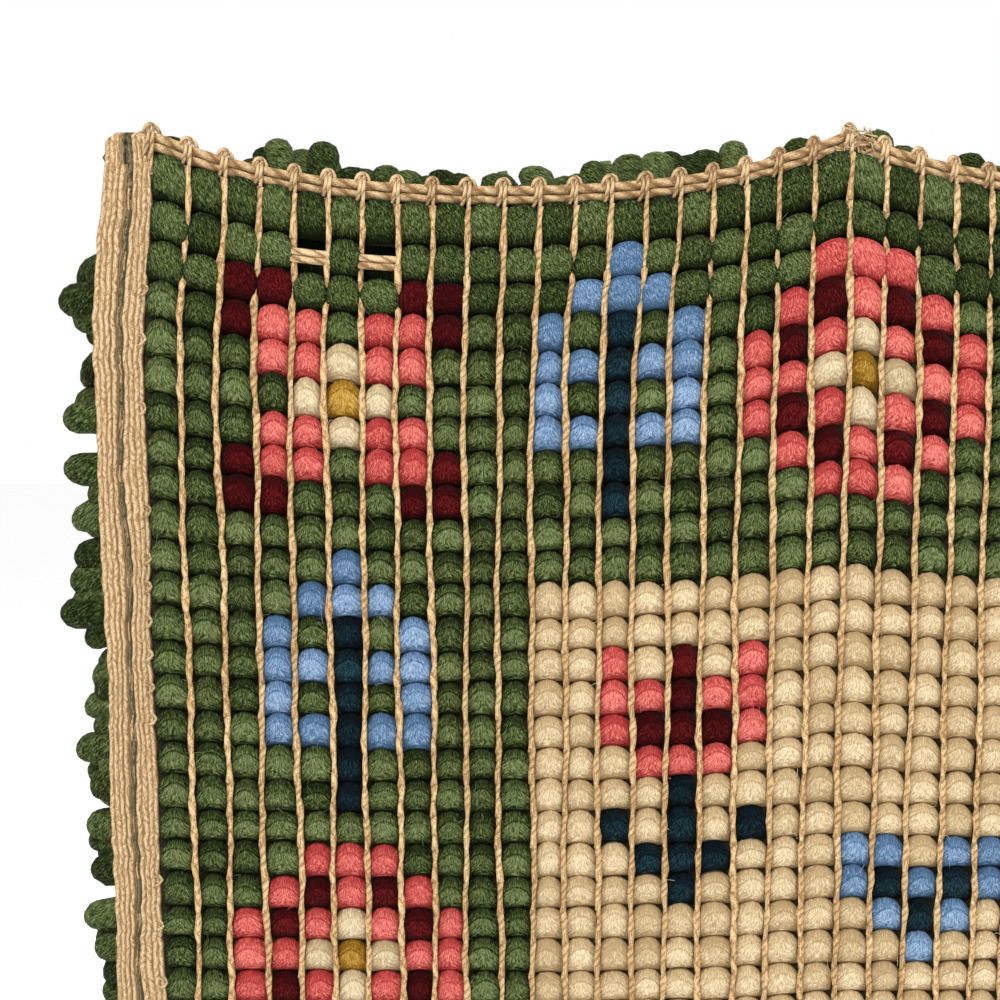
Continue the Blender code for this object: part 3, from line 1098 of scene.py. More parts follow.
@dataclass
class WarpThreads:
    """The twisted pairs of warp threads between the columns of knots.

    Rates are turns of a wave, in radians for each row.
    """

    cloth: HungCloth
    ply: float = 0.0005
    ply_width: float = 0.95
    ply_depth: float = 1.5
    sides: int = 5
    steps: int = 3
    depth: float = 0.0030
    flatness: float = 0.8
    uneven: float = 0.14
    uneven_rates: tuple[float, float] = (2.9, 0.83)
    turn_swing: float = 0.35
    turn_rate: float = 0.7
    zigzag: float = 0.00012
    slow_swing: float = 0.5
    slow_rate: float = 0.37
    quick_swing: float = 0.6
    quick_rate: float = 9.1
    row_wave: float = 0.00015
    slow_wave: float = 0.0003
    slow_wave_rate: float = 0.31
    dip: float = 0.0019
    dip_rows: float = 3.8
    dip_fade: float = 1.2
    dip_share: tuple[float, float] = (-0.3, 1.2)
    fibre_turns: float = 3.2
    fibre_lay: float = 2.2
    fibre_step: float = 7.0

    def model_segment(self) -> Shape:
        """One row of a twisted pair: X and Y across in plies, Z along in rows, half a turn.

        Returns:
            The modelled row of twist.
        """
        bench = Bench()
        bpy.ops.mesh.primitive_circle_add(vertices=self.sides, radius=1.0, fill_type="NOTHING")
        bpy.ops.object.mode_set(mode="EDIT")
        bpy.ops.mesh.select_all(action="SELECT")
        bench.stretch(lambda p: True, (self.ply_width, self.ply_depth, 1.0))
        for _ in range(self.steps):
            bench.draw_out((0.0, 0.0, 1.0 / self.steps), 1.0, math.pi / self.steps)
        return bench.take()

    def stamp(self, shape: Shape) -> Copies:
        """Copies the row of twist down every warp.

        Args:
            shape: The modelled row of twist.

        Returns:
            The joined copies, with their maps and tones.
        """
        rng = np.random.default_rng(SEED)
        warps, rows = np.meshgrid(np.arange(1, self.cloth.columns), np.arange(self.cloth.rows))
        warps = warps.ravel().astype(float)
        rows = rows.ravel().astype(float)
        phase = rng.uniform(0.0, 2.0 * np.pi, self.cloth.columns)[warps.astype(int)][:, None]
        along = shape.points[None, :, 2]
        down = rows[:, None] + along
        swelling = self.uneven * np.sin(self.uneven_rates[0] * down + phase)
        thick = self.ply * (1.0 + swelling * np.sin(self.uneven_rates[1] * down + 2.0 * phase))
        x = shape.points[None, :, 0] * thick
        y = shape.points[None, :, 1] * thick
        turn = phase + self.turn_swing * np.sin(down * self.turn_rate + phase)
        across = x * np.cos(turn) - y * np.sin(turn)
        out = x * np.sin(turn) + y * np.cos(turn)
        slow = self.slow_swing * np.sin(self.slow_rate * down + 3.0 * phase)
        quick = self.quick_swing * np.sin(self.quick_rate * down + 5.0 * phase)
        swing = self.zigzag * (np.sin(np.pi * down + phase) + slow + quick)
        each_row = self.row_wave * np.sin(2.0 * np.pi * down + phase)
        hidden = each_row + self.slow_wave * np.sin(self.slow_wave_rate * down + 2.0 * phase)
        near_top = np.clip((self.dip_rows - rows) / self.dip_fade, 0.0, 1.0) * (rows > 0.0)
        under = self.dip * near_top * np.clip(rng.uniform(*self.dip_share, len(rows)), 0.0, 1.0)
        hidden = hidden + under[:, None] * np.sin(np.pi * along) ** 2
        column = warps[:, None] + (across + swing) / self.cloth.column_pitch
        points = self.cloth.place(column, down, -self.depth - out * self.flatness + hidden)
        around = np.arctan2(shape.points[None, :, 1], shape.points[None, :, 0])
        turns = around / (2.0 * np.pi)
        laid = self.fibre_turns * turns + self.fibre_lay * down + self.fibre_step * warps[:, None]
        fibres = np.stack([laid, down * self.cloth.row_mm + 0.0 * around], axis=-1)
        plies = np.stack([2.0 * turns + 2.0 * down, down + 0.0 * around], axis=-1)
        corners, sizes = shape.copied(len(warps))
        return Copies(
            points=points.reshape(-1, 3),
            corners=corners,
            sizes=sizes,
            maps={"fibres": fibres.reshape(-1, 2), "plies": plies.reshape(-1, 2)},
            wraps={"fibres": self.fibre_turns, "plies": 2.0},
            values={"tone": np.repeat(rng.uniform(*TONES, len(warps)), len(shape.points))},
        )

    def build(self, material: bpy.types.Material) -> bpy.types.Object:
        """Builds the warps as one piece, in which the rows of a warp follow one another."""
        copies = self.stamp(self.model_segment())
        return copies.piece("warp_threads", material, "canvas_cotton")


def tube_quads(steps: int, sides: int) -> np.ndarray:
    """Faces round a tube that is made of rings of points.

    Args:
        steps: Number of rings.
        sides: Number of points in a ring.

    Returns:
        The four corners of every face.
    """
    i, j = np.meshgrid(np.arange(steps - 1), np.arange(sides), indexing="ij")
    next_j = (j + 1) % sides
    here, there = i * sides, (i + 1) * sides
    return np.stack([here + j, here + next_j, there + next_j, there + j], axis=-1).reshape(-1, 4)


@dataclass
class Selvedge:
    """A woven selvedge: two ribbed bands with a groove between them, darkened as painted shade."""

    cloth: HungCloth
    side: int
    back: float = 0.0006
    back_stations: int = 5
    back_rib: float = 0.5
    face: float = 0.0008
    rib: float = 0.0007
    rib_shape: float = 0.7
    # Painted shade between the ribs and painted light on them, by this size and the next
    rib_painted_shade: float = 0.4
    rib_middle: float = 0.72
    ragged: float = 0.0001
    ragged_rate: float = 5.9
    ribs: int = 4
    groove_from: float = 0.0041
    groove_to: float = 0.0053
    groove_floor: float = 0.0002
    groove_near: float = 0.0015
    groove_waves: tuple = ((0.0003, 1.3, 0.0), (0.0002, 0.47, 1.0))
    stations: int = 41
    steps_per_row: int = 4
    dash_share: float = -1.15
    dash_rates: tuple[float, float] = (2.6, 4.3)
    dash_slant: float = 9000.0
    taper: float = 0.13
    taper_rows: float = 0.6
    swell: float = 0.12
    swell_down: float = 2.1
    swell_across: float = 2400.0
    corner_drop: float = 0.17
    corner_reach: float = 0.0010
    corner_rows: float = 0.3
    spot_from: float = 0.0031
    spot_rows: float = 0.5
    fold_rows: tuple = (0.0, 0.03, 0.09, 0.18, 0.3)
    fibre_slant: float = 0.1
    weave: float = 3.4
    weave_slant: float = 0.8
    weave_step: float = 0.37
    weave_waves: tuple = ((0.6, 0.9, 2.0), (0.5, 0.37, 5.0))

    def profile(self) -> tuple[np.ndarray, np.ndarray, np.ndarray]:
        """The band's outline across its width.

        Returns:
            Places in from the outer edge, how deep each is, and on which rib, round the whole band.
        """
        width = self.cloth.selvedge
        inwards = np.linspace(0.0, width, self.stations)
        outer = inwards / self.groove_from * self.ribs
        inner = self.ribs + (inwards - self.groove_to) / (width - self.groove_to) * self.ribs
        count = np.where(inwards < self.groove_to, outer, inner)
        depth = self.face + self.rib * np.abs(np.sin(np.pi * count)) ** self.rib_shape
        depth[(inwards > self.groove_from) & (inwards < self.groove_to)] = self.groove_floor
        behind = np.linspace(width, 0.0, self.back_stations)
        across = np.concatenate([inwards, behind])
        deep = np.concatenate([-depth, np.full(len(behind), self.back)])
        return across, deep, np.concatenate([count, np.full(len(behind), self.back_rib)])

    def rows_down(self) -> tuple[np.ndarray, np.ndarray]:
        """Rows of the band's rings, close together at its folds, and how far each is from an end.

        Returns:
            The rows, and how many rows each is from the nearer end.
        """
        end = self.cloth.heading_half * 2.0 / self.cloth.row_pitch
        fold = np.array(self.fold_rows)
        middle = np.linspace(0.0, self.cloth.rows, self.steps_per_row * self.cloth.rows + 1)
        rows = np.concatenate([fold - end, middle[1:-1], self.cloth.rows + end - fold[::-1]])
        return rows, np.minimum(rows + end, self.cloth.rows + end - rows)

    def _grid(
        self, across: np.ndarray, deep: np.ndarray, rows: np.ndarray, from_end: np.ndarray
    ) -> np.ndarray:
        """Points of the band on the hung cloth.

        Args:
            across: Places in from the outer edge.
            deep: Depth of each of them.
            rows: Rows of the rings.
            from_end: How far each ring is from an end, in rows.

        Returns:
            The points, by ring and place.
        """
        fold_share = np.clip(from_end / self.fold_rows[-1], 0.0, 1.0)
        fullness = np.sqrt(np.clip(1.0 - (1.0 - fold_share) ** 2, 0.0, 1.0))
        near_groove = np.exp(-(((across - self.groove_to) / self.groove_near) ** 2))
        rng = np.random.default_rng(SEED + self.side)
        edge = rng.normal(0.0, self.ragged, (len(rows), 1))
        edge = edge + self.ragged * np.sin(rows * self.ragged_rate)[:, None]
        wave = waves(rows, self.groove_waves)[:, None] * near_groove[None, :]
        narrowed = 1.0 - self.taper * np.exp(-from_end / self.taper_rows)
        inwards = across[None, :] + wave + edge
        column = (inwards - self.cloth.selvedge) / self.cloth.column_pitch * narrowed[:, None]
        if self.side > 0:
            column = self.cloth.columns - column
        swell = self.swell * np.sin(rows * self.swell_down)[:, None]
        swell = 1.0 + swell * np.sin(across * self.swell_across)[None, :]
        corner = np.exp(-((across / self.corner_reach) ** 2))[None, :]
        corner = corner * np.exp(-from_end / self.corner_rows)[:, None]
        towards = np.where(rows < self.cloth.rows / 2, 1.0, -1.0)[:, None]
        sunk = rows[:, None] + self.corner_drop * corner * towards
        return self.cloth.place(column, sunk, deep[None, :] * fullness[:, None] * swell)

    def _maps(self, across: np.ndarray, ribs: np.ndarray, rows: np.ndarray) -> dict[str, np.ndarray]:
        """Maps of the fibres and of the slanted weave, which turns the other way on every rib.

        Args:
            across: Places in from the outer edge.
            ribs: On which rib each of them is.
            rows: Rows of the rings.

        Returns:
            The maps by name.
        """
        along = rows[:, None] * self.cloth.row_mm + 0.0 * across[None, :]
        within = ribs[None, :] % 1.0
        number = np.floor(ribs)[None, :]
        slant = np.where(number % 2 == 0, 1.0, -1.0)
        fibres = np.stack([across[None, :] * MM_PER_M + self.fibre_slant * slant * along, along], axis=-1)
        uneven = sum(size * np.sin(along * rate + step * number) for size, rate, step in self.weave_waves)
        woven = along / self.weave + slant * within * self.weave_slant + number * self.weave_step + uneven
        plies = np.stack([woven, along], axis=-1)
        return {"fibres": fibres.reshape(-1, 2), "plies": plies.reshape(-1, 2)}

    def _groove_shade_faces(self, across: np.ndarray, rows: np.ndarray, from_end: np.ndarray) -> np.ndarray:
        """Which faces take the dark material: the groove's dashes, which are painted shade, and a spot at
        each end of the band.

        Args:
            across: Places in from the outer edge.
            rows: Rows of the rings.
            from_end: How far each ring is from an end, in rows.

        Returns:
            One for each dark face, and nought for the others.
        """
        down = rows[:-1, None]
        ragged = np.sin(down * self.dash_rates[0] + across[None, :] * self.dash_slant)
        dashed = ragged + np.sin(down * self.dash_rates[1] + 1.0) > self.dash_share
        in_groove = (across > self.groove_from) & (across < self.groove_to)
        in_spot = (across > self.spot_from) & (across < self.groove_to)
        spotted = from_end[:-1] < self.spot_rows
        dark = (dashed & in_groove[None, :]) | (spotted[:, None] & in_spot[None, :])
        return dark.ravel().astype(np.int32)

    def build(self, material: bpy.types.Material, groove: bpy.types.Material) -> bpy.types.Object:
        """Builds the band on the hung cloth, front and back joined round its edges.

        Args:
            material: Finish of the bands.
            groove: Dark material of the groove, painted shade.

        Returns:
            The piece.
        """
        across, deep, ribs = self.profile()
        rows, from_end = self.rows_down()
        grid = self._grid(across, deep, rows, from_end)
        quads = tube_quads(len(rows), len(across))
        if self.side < 0:
            quads = quads[:, ::-1]
        # Painted shade between the ribs and painted light on their crowns, put into the tone
        rounded = np.abs(np.sin(np.pi * ribs)) ** self.rib_shape
        copies = Copies(
            points=grid.reshape(-1, 3),
            corners=quads.ravel(),
            sizes=np.full(len(quads), 4),
            maps=self._maps(across, ribs, rows),
            values={"tone": np.tile(0.5 + self.rib_painted_shade * (rounded - self.rib_middle), len(rows))},
        )
        name = "selvedge_left" if self.side < 0 else "selvedge_right"
        piece = copies.piece(name, material, "canvas_cotton")
        piece.data.materials.append(groove)
        dark = self._groove_shade_faces(across, rows, from_end)
        piece.data.polygons.foreach_set("material_index", dark)
        piece.data.update()
        return piece


@dataclass
class CanvasGround:
    """The ground of the rug canvas behind the knots, with its turned hems, dark as painted shade."""

    cloth: HungCloth
    missing: tuple
    half: float = 0.0005
    hem: float = 0.001
    hem_rows: float = 3.6
    # Below nought, so that the sheet takes the darkest colour of its material: painted shade behind the
    # knots
    tone: float = -0.3

    def _quads(self, line: int, layer: int) -> np.ndarray:
        """Faces of both sides without the open cells, and the walls round all their edges.

        Args:
            line: Number of points in a row.
            layer: Number of points on a side.

        Returns:
            The four corners of every face.
        """
        quads = []
        solid = np.ones((self.cloth.rows, self.cloth.columns), dtype=bool)
        for column, row in self.missing:
            solid[row, column] = False
        for row, column in zip(*np.nonzero(solid)):
            a = row * line + column
            front = (a, a + line, a + line + 1, a + 1)
            quads.append(front)
            quads.append(tuple(layer + corner for corner in reversed(front)))
        # Open edges keep their order, because a dictionary does
        edges: dict[tuple[int, int], bool] = {}
        for quad in quads[::2]:
            for start, end in zip(quad, quad[1:] + quad[:1]):
                if (end, start) in edges:
                    edges.pop((end, start))
                else:
                    edges[(start, end)] = True
        quads += [(end, start, layer + start, layer + end) for start, end in edges]
        return np.array(quads)

    def build(self, material: bpy.types.Material) -> bpy.types.Object:
        """Builds the sheet, with holes where knots are missing.

        Args:
            material: Its finish.

        Returns:
            The piece.
        """
        across = np.arange(self.cloth.columns + 1)
        down = np.arange(self.cloth.rows + 1)
        hemmed = np.minimum(down, self.cloth.rows - down) <= self.hem_rows
        layers = []
        for side in (-1.0, 1.0):
            deep = side * self.half + self.hem * hemmed * (side > 0)
            layers.append(self.cloth.place(across[None, :], down[:, None], deep[:, None]).reshape(-1, 3))
        points = np.concatenate(layers)
        quads = self._quads(len(across), len(layers[0]))
        fibres = np.stack([points[:, 0] * MM_PER_M, points[:, 2] * MM_PER_M], axis=-1)
        copies = Copies(
            points=points,
            corners=quads.ravel(),
            sizes=np.full(len(quads), 4),
            maps={"fibres": fibres, "plies": fibres},
            values={"tone": np.full(len(points), self.tone)},
        )
        return copies.piece("canvas_ground", material, "canvas_cotton")


@dataclass
class Thread:
    """A round thread drawn along a line of points."""

    radius: float
    sides: int = 6
    twist: float = 900.0
    lay: float = 0.0011
    outwards: tuple[float, float, float] = (0.013, -1.0, 0.017)
    tones: tuple[float, float] = (0.35, 0.65)
    tiny: float = 1e-12

    def _faces(self, steps: int) -> Shape:
        """The faces of one thread, round its sides and over its two ends.

        Args:
            steps: Number of points of its line.

        Returns:
            A shape whose points are not yet placed.
        """
        quads = tube_quads(steps, self.sides)
        first = np.arange(self.sides)[::-1]
        last = (steps - 1) * self.sides + np.arange(self.sides)
        corners = np.concatenate([quads.ravel(), first, last])
        sizes = np.concatenate([np.full(len(quads), 4), [self.sides, self.sides]])
        return Shape(np.empty((steps * self.sides, 3)), corners, sizes)

    def _rings(self, lines: np.ndarray) -> np.ndarray:
        """Directions from the lines to the points of the rings round them, each one long.

        Args:
            lines: Points of each line, as an array of lines by points by three.

        Returns:
            The directions, as an array of lines by points by sides by three.
        """
        ahead = np.gradient(lines, axis=1)
        ahead /= np.linalg.norm(ahead, axis=2, keepdims=True) + self.tiny
        side = np.cross(ahead, np.broadcast_to(np.array(self.outwards), ahead.shape))
        side /= np.linalg.norm(side, axis=2, keepdims=True) + self.tiny
        front = np.cross(side, ahead)
        angle = np.arange(self.sides) * 2.0 * np.pi / self.sides
        ring = side[:, :, None, :] * np.cos(angle)[None, None, :, None]
        return ring + front[:, :, None, :] * np.sin(angle)[None, None, :, None]

    def along(self, lines: np.ndarray) -> Copies:
        """Sweeps the thread along lines of points.

        Args:
            lines: Points of each line, as an array of lines by points by three.

        Returns:
            The joined threads, closed at both ends.
        """
        count, steps, _ = lines.shape
        points = lines[:, :, None, :] + self.radius * self._rings(lines)
        stretches = np.linalg.norm(np.diff(lines, axis=1), axis=2)
        length = np.concatenate([np.zeros((count, 1)), np.cumsum(stretches, axis=1)], axis=1)[:, :, None]
        turns = (np.arange(self.sides) / self.sides)[None, None, :]
        round_mm = 2.0 * MM_PER_M * self.radius * np.pi
        around = turns * round_mm
        fibres = np.stack([around + length * self.twist, length * MM_PER_M + 0.0 * around], axis=-1)
        plies = np.stack([2.0 * turns + length / self.lay, length + 0.0 * turns], axis=-1)
        one = self._faces(steps)
        corners, sizes = one.copied(count)
        rng = np.random.default_rng(count)
        return Copies(
            points=points.reshape(-1, 3),
            corners=corners,
            sizes=sizes,
            maps={"fibres": fibres.reshape(-1, 2), "plies": plies.reshape(-1, 2)},
            values={"tone": np.repeat(rng.uniform(*self.tones, count), len(one.points))},
            wraps={"fibres": round_mm, "plies": 2.0},
        )


# Stations of each loop over a heading: metres aside from its warp, above the heading, and out
LOOP_ARCH = (
    (-0.0014, 0.0004, 0.0006),
    (-0.0014, 0.0020, 0.0009),
    (-0.0007, 0.0032, 0.0008),
    (0.0007, 0.0032, 0.0004),
    (0.0014, 0.0020, 0.0),
    (0.0014, 0.0002, -0.0004),
)
LOOP_BEHIND = (
    (-0.0005, 0.0026, 0.0002),
    (-0.0005, 0.0018, 0.0014),
    (-0.0005, 0.0, 0.0017),
    (-0.0010, -0.0018, 0.0016),
    (-0.0016, -0.0032, 0.0006),
)
LOOP_AHEAD = (
    (0.0004, 0.0026, 0.0002),
    (0.0003, 0.0018, 0.0015),
    (0.0002, 0.0, 0.0019),
    (0.0001, -0.0020, 0.0023),
    (0.0, -0.0036, 0.0028),
    (0.0, -0.0052, 0.0022),
)


@dataclass
class Heading:
    """The two weft threads in the fold of a hem, with the warps looped over them."""

    cloth: HungCloth
    outward: int
    thread: float = 0.00094
    apart: float = 0.00092
    weft_depth: float = -0.0002
    weave: float = 0.00012
    weft_twist: float = 300.0
    overhang: float = 0.35
    steps_per_column: int = 4
    loop_radius: float = 0.00042
    loop_spread: tuple[float, float] = (0.88, 1.12)
    loop_seed: int = 5
    extra_points: int = 4

    def _weft_threads(self) -> Copies:
        """The two threads along the edge.

        Returns:
            The joined threads.
        """
        steps = self.cloth.columns * self.steps_per_column + 1
        columns = np.linspace(-self.overhang, self.cloth.columns + self.overhang, steps)
        centre = self.cloth.heading_row(self.outward)
        lines = []
        for number, aside in enumerate((self.apart, -self.apart)):
            weave = self.weave * np.sin(columns * 2.0 * np.pi + number * np.pi)
            line = self.cloth.place(columns, np.full(steps, centre), self.weft_depth + weave)
            line[:, 2] += self.outward * aside
            lines.append(line)
        thread = Thread(self.thread, sides=7, twist=self.weft_twist, lay=WEFT_LAY)
        return thread.along(np.array(lines))

    def _bend(self, stations: tuple) -> Copies:
        """One ply at every warp.

        Args:
            stations: Metres aside, up and out at each station of the ply.

        Returns:
            The joined plies.
        """
        warps = np.arange(0, self.cloth.columns + 1).astype(float)
        rng = np.random.default_rng(self.loop_seed)
        table = np.array(stations)
        count = len(table)
        fine = np.linspace(0.0, count - 1.0, count + self.extra_points)
        smooth = np.stack([np.interp(fine, np.arange(count), table[:, k]) for k in range(3)], axis=-1)
        smooth[1:-1] = (smooth[:-2] + 2.0 * smooth[1:-1] + smooth[2:]) / 4.0
        scale = rng.uniform(*self.loop_spread, (len(warps), 1))
        up = smooth[None, :, 1]
        below = -np.minimum(up, 0.0) + 0.0 * scale
        row = self.cloth.heading_row(self.outward) + self.outward * below / self.cloth.row_pitch
        column = warps[:, None] + smooth[None, :, 0] * scale / self.cloth.column_pitch
        points = self.cloth.place(column, row, -smooth[None, :, 2] * scale)
        points[..., 2] += self.outward * np.maximum(up, 0.0)
        return Thread(self.loop_radius, sides=5, lay=WARP_LAY).along(points)

    def build(self, material: bpy.types.Material) -> bpy.types.Object:
        """Builds the threads and their loops as one piece.

        Args:
            material: Their finish.

        Returns:
            The piece.
        """
        loops = [self._bend(stations) for stations in (LOOP_ARCH, LOOP_BEHIND, LOOP_AHEAD)]
        node = "heading_top" if self.outward > 0 else "heading_bottom"
        piece = joined([self._weft_threads(), *loops]).piece(f"{node}_threads", material, "canvas_cotton")
        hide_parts(node)
        return piece


@dataclass
class OpenCells:
    """The pairs of weft threads that show where knots are missing."""

    cloth: HungCloth
    cells: tuple
    radius: float = 0.00072
    rows_down: tuple[float, float] = (0.36, 0.57)
    overhang: float = 0.22
    depth: float = 0.0024
    steps: int = 12

    def build(self, material: bpy.types.Material) -> bpy.types.Object:
        """Builds the bare wefts.

        Args:
            material: Their finish.

        Returns:
            The piece.
        """
        lines: list[np.ndarray] = []
        for column, row in self.cells:
            across = np.linspace(column - self.overhang, column + 1.0 + self.overhang, self.steps)
            for down in self.rows_down:
                rows = np.full(self.steps, row + down)
                lines.append(self.cloth.place(across, rows, np.full(self.steps, -self.depth)))
        copies = Thread(self.radius, sides=7, lay=WEFT_LAY).along(np.array(lines))
        return copies.piece("bare_wefts", material, "canvas_cotton")


@dataclass
class LooseThreads:
    """Weft loops on the inner edges of the selvedges, and frayed ends at the raised points."""

    cloth: HungCloth
    loop_radius: float = 0.0004
    loop_share: float = 0.6
    loop_jitter: float = 0.2
    loop_across: tuple = (-0.22, -0.02, 0.05, -0.04, -0.2)
    loop_down: tuple = (0.62, 0.5, 0.38, 0.3, 0.3)
    loop_out: tuple = (0.0011, 0.0016, 0.0018, 0.0015, 0.001)
    fray_radius: float = 0.0002
    fray_ends: int = 14
    fray_reach: float = 0.0042
    fray_steps: int = 7
    fray_step: tuple = (1.0, 0.3, 0.8)
    fray_drift: tuple = (0.5, -0.05, -0.15)
    fray_aside: float = 0.12
    fray_out: float = 0.0016

    def _edge_loops(self) -> Copies:
        """One slanted loop beside most of the knots of the outer columns.

        Returns:
            The joined threads.
        """
        rng = np.random.default_rng(SEED)
        lines = []
        for edge, inwards in ((0.0, 1.0), (float(self.cloth.columns), -1.0)):
            rows = np.arange(self.cloth.rows)[rng.uniform(0.0, 1.0, self.cloth.rows) < self.loop_share]
            for row in rows + rng.uniform(-self.loop_jitter, self.loop_jitter, len(rows)):
                across = edge + inwards * np.array(self.loop_across)
                down = row + np.array(self.loop_down)
                lines.append(self.cloth.place(across, down, -np.array(self.loop_out)))
        return Thread(self.loop_radius, sides=5, lay=WARP_LAY).along(np.array(lines))

    def _frayed_ends(self) -> Copies:
        """Curled ends of thread round the warp at each raised point of the top edge.

        Returns:
            The joined threads.
        """
        rng = np.random.default_rng(SEED)
        lines = []
        for warp in np.arange(self.cloth.pin_columns, self.cloth.columns, self.cloth.pin_columns):
            knot = self.cloth.place(warp + self.fray_aside, self.cloth.heading_row(1), -self.fray_out)
            for _ in range(self.fray_ends):
                steps = rng.normal(0.0, 1.0, (self.fray_steps, 3)) * np.array(self.fray_step)
                steps = steps + np.array(self.fray_drift)
                walk = np.cumsum(steps, axis=0) - steps[0]
                walk *= self.fray_reach * rng.uniform(0.6, 1.0) / np.abs(walk).max()
                walk[:, 1] = -np.abs(walk[:, 1]) * 0.5
                lines.append(knot + walk)
        return Thread(self.fray_radius, sides=5).along(np.array(lines))

    def build(self, material: bpy.types.Material) -> bpy.types.Object:
        """Builds the loops and the frayed ends as one piece."""
        threads = joined([self._edge_loops(), self._frayed_ends()])
        return threads.piece("loose_threads", material, "canvas_cotton")


# Rings of a strand and of a rim lock after the root: height step, size against the last, turn
STRAND_RINGS = ((0.6, 1.6, 0.5), (0.35, 0.8, 0.5))
LOCK_RINGS = (
    (0.3, 1.45, 0.4),
    (0.3, 1.1, 0.4),
    (0.24, 0.98, 0.3),
    (0.09, 0.8, 0.1),
    (0.05, 0.6, 0.1),
)
# Lengths of the rim locks: rows down a side or columns from a corner, share of the full length
SIDE_LOCKS = ((0.0, 0.4), (1.6, 0.55), (2.4, 0.9), (5.0, 1.0))
TOP_LOCKS = (
    (0.0, 0.5),
    (1.7, 0.6),
    (2.3, 0.85),
    (3.6, 0.9),
    (4.2, 1.4),
    (5.0, 1.3),
    (5.6, 0.6),
    (6.3, 1.05),
    (12.6, 0.95),
    (13.6, 1.25),
    (16.4, 1.1),
    (17.2, 0.8),
    (18.6, 0.55),
    (19.8, 0.6),
    (20.6, 1.0),
    (21.4, 1.0),
    (22.4, 0.85),
)


